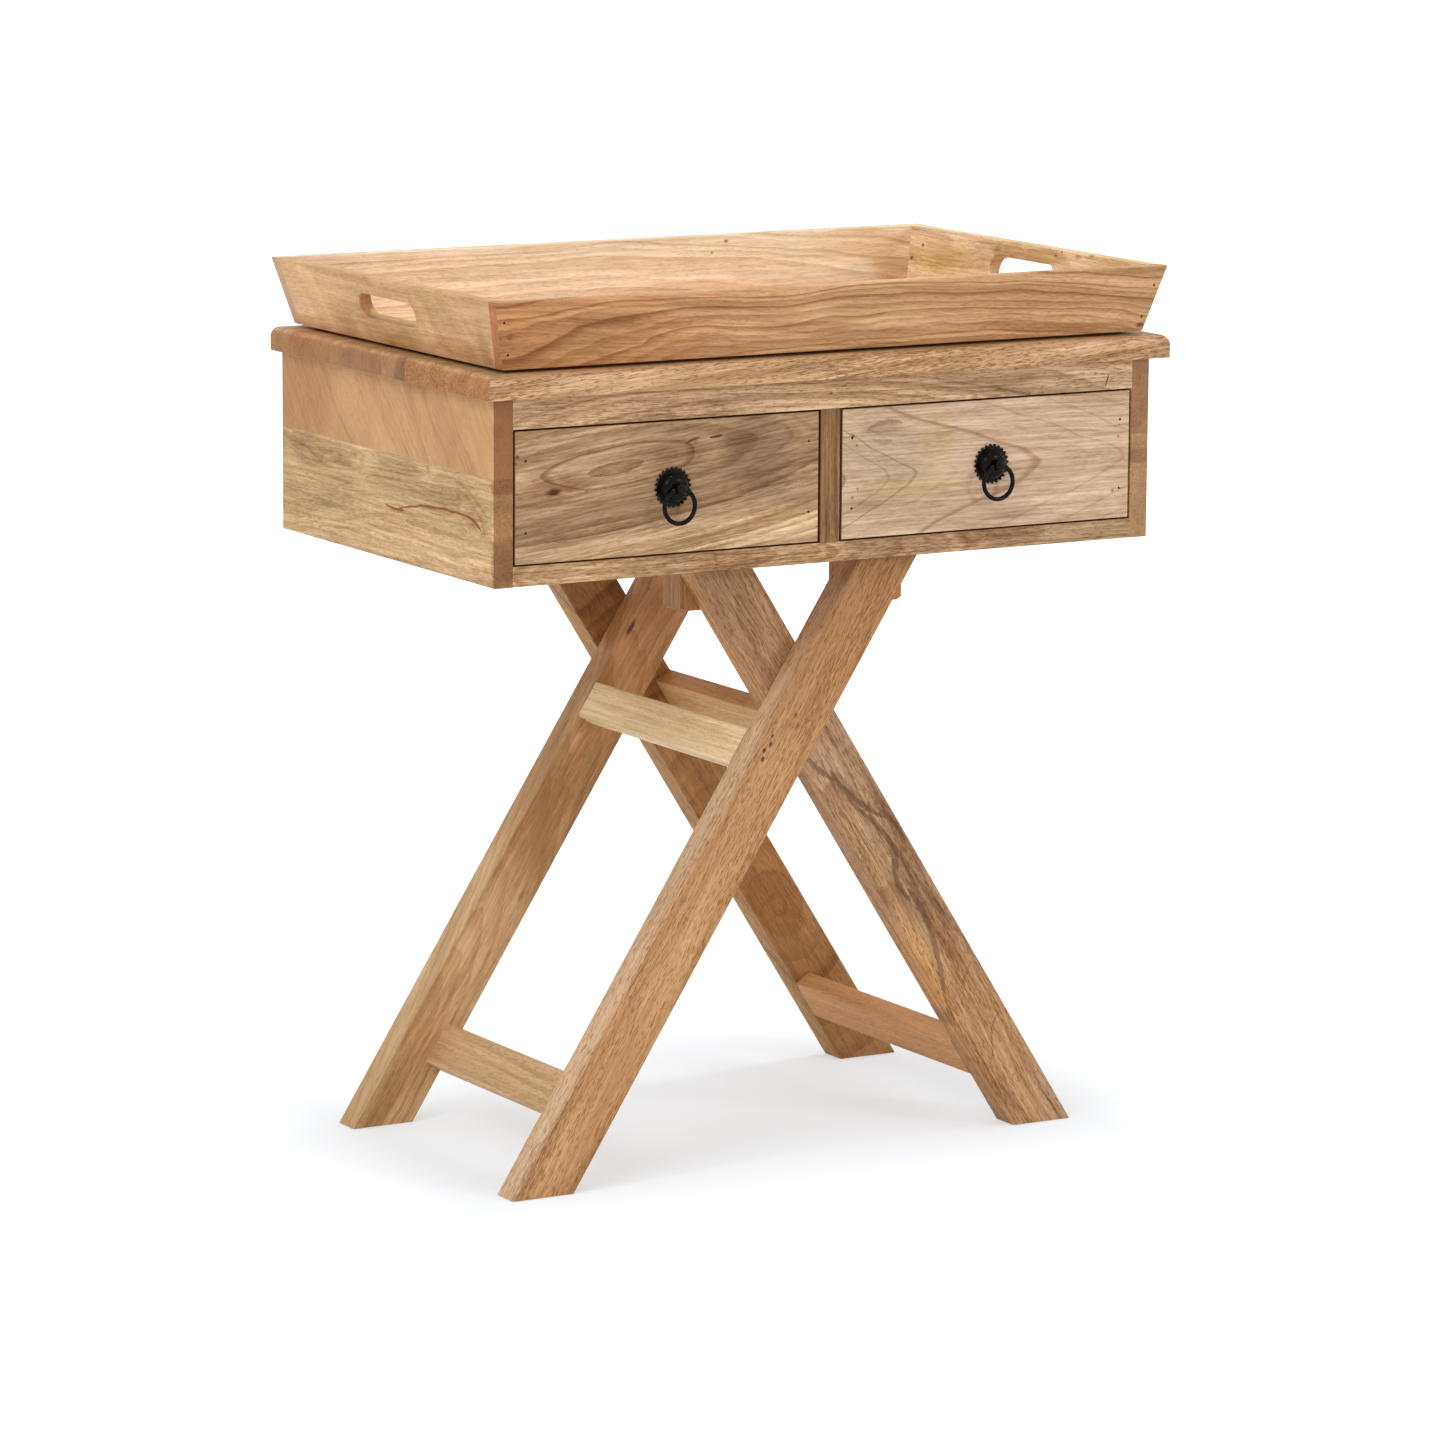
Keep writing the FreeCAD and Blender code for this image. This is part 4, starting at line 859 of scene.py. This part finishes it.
        ring=0.010, lines=0.25, bands=0.3, fibre=0.6, pores=0.25, patches=0.3,
    ),
    "right_foot_upper_bar": Wood(
        tone=(226, 189, 139), patch=(205, 163, 112), grain=Y, face=TO_LEFT.cross(Y), eye=(-2, 0.05),
        ring=0.010, lines=0.3, bands=0.5, fibre=0.6, pores=0.3, patches=0.4,
    ),
    "left_foot_lower_bar": Wood(
        tone=(205, 169, 125), patch=(195, 159, 110), grain=Y, face=-TO_RIGHT.cross(Y), eye=(-2, 0.05),
        ring=0.008, lines=0.35, bands=0.3, fibre=0.6, pores=0.35, patches=0.3,
    ),
    "right_foot_lower_bar": Wood(
        tone=(212, 158, 106), patch=(206, 146, 91), grain=Y, face=TO_LEFT.cross(Y), eye=(-2, 0.05),
        ring=0.008, lines=0.3, bands=0.4, fibre=0.6, pores=0.3, patches=0.3,
    ),
    "left_foot_front_block": Wood(tone=(166, 122, 80), grain=Z, eye=(-1.5, 0.02), pores=0.4),
    "right_foot_front_block": Wood(tone=(166, 122, 80), grain=Z, eye=(-1.5, 0.02), pores=0.4),
    "left_foot_rear_block": Wood(tone=(180, 132, 90), grain=Z, eye=(-1.5, 0.02), pores=0.4),
    "right_foot_rear_block": Wood(tone=(180, 132, 90), grain=Z, eye=(-1.5, 0.02), pores=0.4),
    "back_panel": Wood(
        tone=(198, 156, 116), grain=-X, face=Y, eye=(-1.6, 0.02), stretch=16.0, ring=0.011,
    ),
    "box_floor": Wood(tone=(202, 164, 124), face=-Z, eye=(-1.6, 0.08), stretch=18.0, ring=0.013),
    "centre_partition": Wood(tone=(200, 160, 120), grain=Y, face=X, eye=(-1.6, 0.02), stretch=18.0),
    "kicker_strips": Wood(tone=(204, 168, 128), grain=Y, face=-Z, eye=(-1.6, 0.02)),
    "drawer_stops": Wood(tone=(200, 162, 122), grain=X, face=Z, eye=(-1.6, 0.02)),
    "box_dowels": Wood(tone=(214, 178, 136), grain=X, face=Z, pores=0.5),
    "bar_dowels": Wood(tone=(214, 178, 136), grain=Y, face=Z, pores=0.5),
    "crossing_dowels": Wood(tone=(214, 178, 136), grain=Y, face=Z, pores=0.5),
}
for side in ("left", "right"):
    drawer = side + "_drawer_"
    WOODS[drawer + "left_side"] = Wood(tone=(208, 172, 132), face=-X, grain=-Y, stretch=18.0, ring=0.009)
    WOODS[drawer + "right_side"] = Wood(tone=(204, 166, 126), face=X, grain=Y, stretch=16.0, ring=0.009)
    WOODS[drawer + "back"] = Wood(tone=(206, 168, 128), face=Y, grain=-X, stretch=16.0, ring=0.009)
    WOODS[drawer + "bottom"] = Wood(tone=(212, 178, 138), face=Z, grain=X, stretch=16.0, ring=0.014)


# Metal

IRON_DARK = (6, 4, 3)
IRON_PALE = (20, 14, 11)
IRON_BARE_AND_GLINT = (80, 74, 68)
IRON_TURNS = (420, 420, 420)
IRON_WEAR_AND_GLINT_EDGE = (0.42, 0.62)
IRON_ROUGHNESS = 0.08
IRON_ROUGHNESS_RANGE = 0.18
IRON_SPECULAR = 0.09
IRON_BUMP = 0.5
IRON_BUMP_DISTANCE = 0.0004
RIM_EDGE = (0.0152, 0.0168)
PLATE_EDGE = (-0.004, -0.002)

STEEL_TURNS = (700, 700, 700)
STEEL_ROUGHNESS = 0.4
STEEL_ROUGHNESS_RANGE = 0.3
STEEL_METALLIC = 0.7
NUT_COLOURS = ((96, 92, 88), (150, 146, 140))
DRAWER_NAIL_COLOURS = ((38, 26, 20), (70, 54, 44))
TRAY_NAIL_COLOURS = ((44, 30, 22), (78, 60, 48))
SCREW_COLOURS = ((120, 114, 106), (176, 170, 160))


def iron_material(name, centre):
    """Blackened iron, a little uneven, with a pale rim on the rosette's plate: worn bare metal and a
    painted glint.
    """
    material, graph, shader = new_material(name)
    place = graph.vector("SUBTRACT", graph.add("ShaderNodeTexCoord").outputs["Object"], centre)
    x, y, z = graph.split(place)
    radius = graph.vector("LENGTH", graph.join(x, z))
    uneven = graph.noise(place, IRON_TURNS, detail=3.0, roughness=0.6)
    # The pale rim is partly worn bare metal and partly a painted glint.
    wear_and_glint = graph.times(graph.step(radius, *RIM_EDGE), graph.step(uneven, *IRON_WEAR_AND_GLINT_EDGE))
    wear_and_glint = graph.times(wear_and_glint, graph.step(y, *PLATE_EDGE))
    colour = graph.mix(uneven, linear(IRON_DARK), linear(IRON_PALE))
    rough = graph.times_plus(uneven, IRON_ROUGHNESS_RANGE, IRON_ROUGHNESS)
    add_bump(graph, shader, uneven, IRON_BUMP, IRON_BUMP_DISTANCE)
    graph.put(shader.inputs["Base Color"], graph.mix(wear_and_glint, colour, linear(IRON_BARE_AND_GLINT)))
    graph.put(shader.inputs["Roughness"], rough)
    shader.inputs["Metallic"].default_value = 0.0
    shader.inputs["Specular IOR Level"].default_value = IRON_SPECULAR
    return material


def steel_material(name, dark, bright):
    """Nails, nuts and screws: steel with darker stains."""
    material, graph, shader = new_material(name)
    place = graph.add("ShaderNodeTexCoord").outputs["Object"]
    stain = graph.noise(place, STEEL_TURNS, detail=3.0, roughness=0.6)
    rough = graph.times_plus(stain, STEEL_ROUGHNESS_RANGE, STEEL_ROUGHNESS)
    graph.put(shader.inputs["Base Color"], graph.mix(stain, linear(dark), linear(bright)))
    graph.put(shader.inputs["Roughness"], rough)
    shader.inputs["Metallic"].default_value = STEEL_METALLIC
    return material


# Dressing the pieces


def dress(node, material):
    """Gives a node that material in all its slots."""
    mesh = nodes[node].data
    if not mesh.materials:
        mesh.materials.append(material)
    for index in range(len(mesh.materials)):
        mesh.materials[index] = material


def middle_of(node):
    """The middle of a node's box."""
    low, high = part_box(node)
    return (low + high) / 2


for seed, (node, wood) in enumerate(WOODS.items(), start=1):
    dress(node, wood_material(node + "_wood", node, wood, seed))

for side in ("left", "right"):
    pull = side + "_pull_"
    iron = iron_material(side + "_iron", middle_of(pull + "rosette"))
    for piece in ("rosette", "knob", "ring"):
        dress(pull + piece, iron)
    dress(pull + "nut", steel_material(side + "_nut_steel", *NUT_COLOURS))
    dress(side + "_drawer_nails", steel_material(side + "_nail_steel", *DRAWER_NAIL_COLOURS))
dress("tray_nails", steel_material("tray_nail_steel", *TRAY_NAIL_COLOURS))
for node in ("top_screws", "block_screws", "leg_screws"):
    dress(node, steel_material(node + "_steel", *SCREW_COLOURS))


# Floor, light and camera. The camera's angles are degrees.

FLOOR_REACH = 40.0
FLOOR_DROP = 0.0005
FLOOR_COLOUR = (0.560, 0.592, 0.632, 1.0)
FLOOR_PALE = (0.8, 0.8, 0.79, 1.0)
FLOOR_GLOW = 0.45
FLOOR_NEAR = 0.8
FLOOR_FAR = 2.2
WORLD_STRENGTH = 0.62
MIDDLE_OF_TABLE = (0, 0, 0.4)
MIDDLE_OF_BOX = (0, 0, 0.6)
GROUND = (0, 0, 0)
CAMERA_PLACE = (-2.788850, -4.784358, 1.336564)
CAMERA_AZIMUTH = -30.275
CAMERA_ELEVATION = 10.030
CAMERA_ROLL = 0.393
CAMERA_LENS = 161.93
CAMERA_SENSOR = 36.0
CAMERA_REACH = 200.0


def white_to_the_camera(graph):
    """1 for rays from the camera and for reflected and refracted rays, 0 for light that falls on things."""
    path = graph.add("ShaderNodeLightPath").outputs
    seen = graph.math("MAXIMUM", path["Is Camera Ray"], path["Is Glossy Ray"])
    return graph.math("MAXIMUM", seen, path["Is Transmission Ray"])


def floor_material():
    """Seen: a shaded floor with a glow that makes it white far out. As light: a plain pale floor."""
    material, graph, shader = new_material("pale_floor")
    graph.tree.nodes.remove(shader)
    place = graph.add("ShaderNodeTexCoord").outputs["Object"]
    far = graph.step(graph.vector("LENGTH", place), FLOOR_NEAR, FLOOR_FAR)
    shade = graph.add("ShaderNodeBsdfDiffuse", {"Color": FLOOR_COLOUR})
    glow = graph.add("ShaderNodeEmission", {"Color": WHITE})
    graph.put(glow.inputs["Strength"], graph.blend(far, FLOOR_GLOW, 1.0))
    seen = graph.add("ShaderNodeAddShader", {0: shade.outputs[0], 1: glow.outputs[0]})
    pale = graph.add("ShaderNodeBsdfDiffuse", {"Color": FLOOR_PALE})
    choice = graph.add("ShaderNodeMixShader", {0: white_to_the_camera(graph)})
    graph.put(choice.inputs[1], pale.outputs[0])
    graph.put(choice.inputs[2], seen.outputs[0])
    graph.put(graph.tree.nodes["Material Output"].inputs["Surface"], choice.outputs[0])
    return material


def floor():
    """A wide pale floor that shows white where no shadow falls."""
    mesh = bpy.data.meshes.new("floor")
    reach = FLOOR_REACH
    corners = [(-reach, -reach, 0), (reach, -reach, 0), (reach, reach, 0), (-reach, reach, 0)]
    mesh.from_pydata(corners, [], [(0, 1, 2, 3)])
    mesh.materials.append(floor_material())
    plane = bpy.data.objects.new("floor", mesh)
    plane.location.z = -FLOOR_DROP
    bpy.context.scene.collection.objects.link(plane)


def world():
    """White surroundings that give less light than they show."""
    made = bpy.data.worlds.new("studio")
    bpy.context.scene.world = made
    made.use_nodes = True
    graph = Graph(made.node_tree)
    backdrop = made.node_tree.nodes["Background"]
    backdrop.inputs["Color"].default_value = WHITE
    graph.put(backdrop.inputs["Strength"], graph.blend(white_to_the_camera(graph), WORLD_STRENGTH, 1.0))


def lamp(name, watts, position, target, **settings):
    """An area lamp that shines from a position towards a target."""
    data = bpy.data.lights.new(name, "AREA")
    data.energy = watts
    for key, value in settings.items():
        setattr(data, key, value)
    made = bpy.data.objects.new(name, data)
    made.location = position
    made.rotation_euler = (Vector(target) - Vector(position)).to_track_quat("-Z", "Y").to_euler()
    bpy.context.scene.collection.objects.link(made)
    return made


def camera():
    """A camera that looks along an azimuth, down by an elevation, rolled a little."""
    angles = (CAMERA_AZIMUTH, CAMERA_ELEVATION, CAMERA_ROLL)
    a, e, r = (math.radians(angle) for angle in angles)
    back = Vector((math.sin(a) * math.cos(e), -math.cos(a) * math.cos(e), math.sin(e)))
    right = (-back).cross(Z).normalized()
    up = right.cross(-back)
    rolled_right = right * math.cos(r) + up * math.sin(r)
    rolled_up = up * math.cos(r) - right * math.sin(r)
    data = bpy.data.cameras.new("camera")
    data.sensor_width = CAMERA_SENSOR
    data.lens = CAMERA_LENS
    data.clip_end = CAMERA_REACH
    made = bpy.data.objects.new("camera", data)
    rotation = Matrix((rolled_right, rolled_up, back)).transposed().to_4x4()
    made.matrix_world = Matrix.Translation(CAMERA_PLACE) @ rotation
    bpy.context.scene.collection.objects.link(made)
    bpy.context.scene.camera = made


def lamps():
    """A wide lamp at the left, a small one at the right, and a strip above that hangs along the view."""
    lamp("left_box", 85.0, (-4.0, -2.5, 3.8), MIDDLE_OF_TABLE, shape="DISK", size=3.0)
    lamp("right_box", 42.0, (2.6, -4.0, 1.9), MIDDLE_OF_BOX, shape="DISK", size=0.9)
    strip = lamp("above", 360.0, (-0.05, 0.0, 9.5), GROUND, shape="RECTANGLE", size=0.7, size_y=3.4)
    strip.rotation_euler = (0, 0, math.radians(CAMERA_AZIMUTH))


camera()
floor()
world()
lamps()

bpy.context.scene.view_settings.view_transform = "Standard"
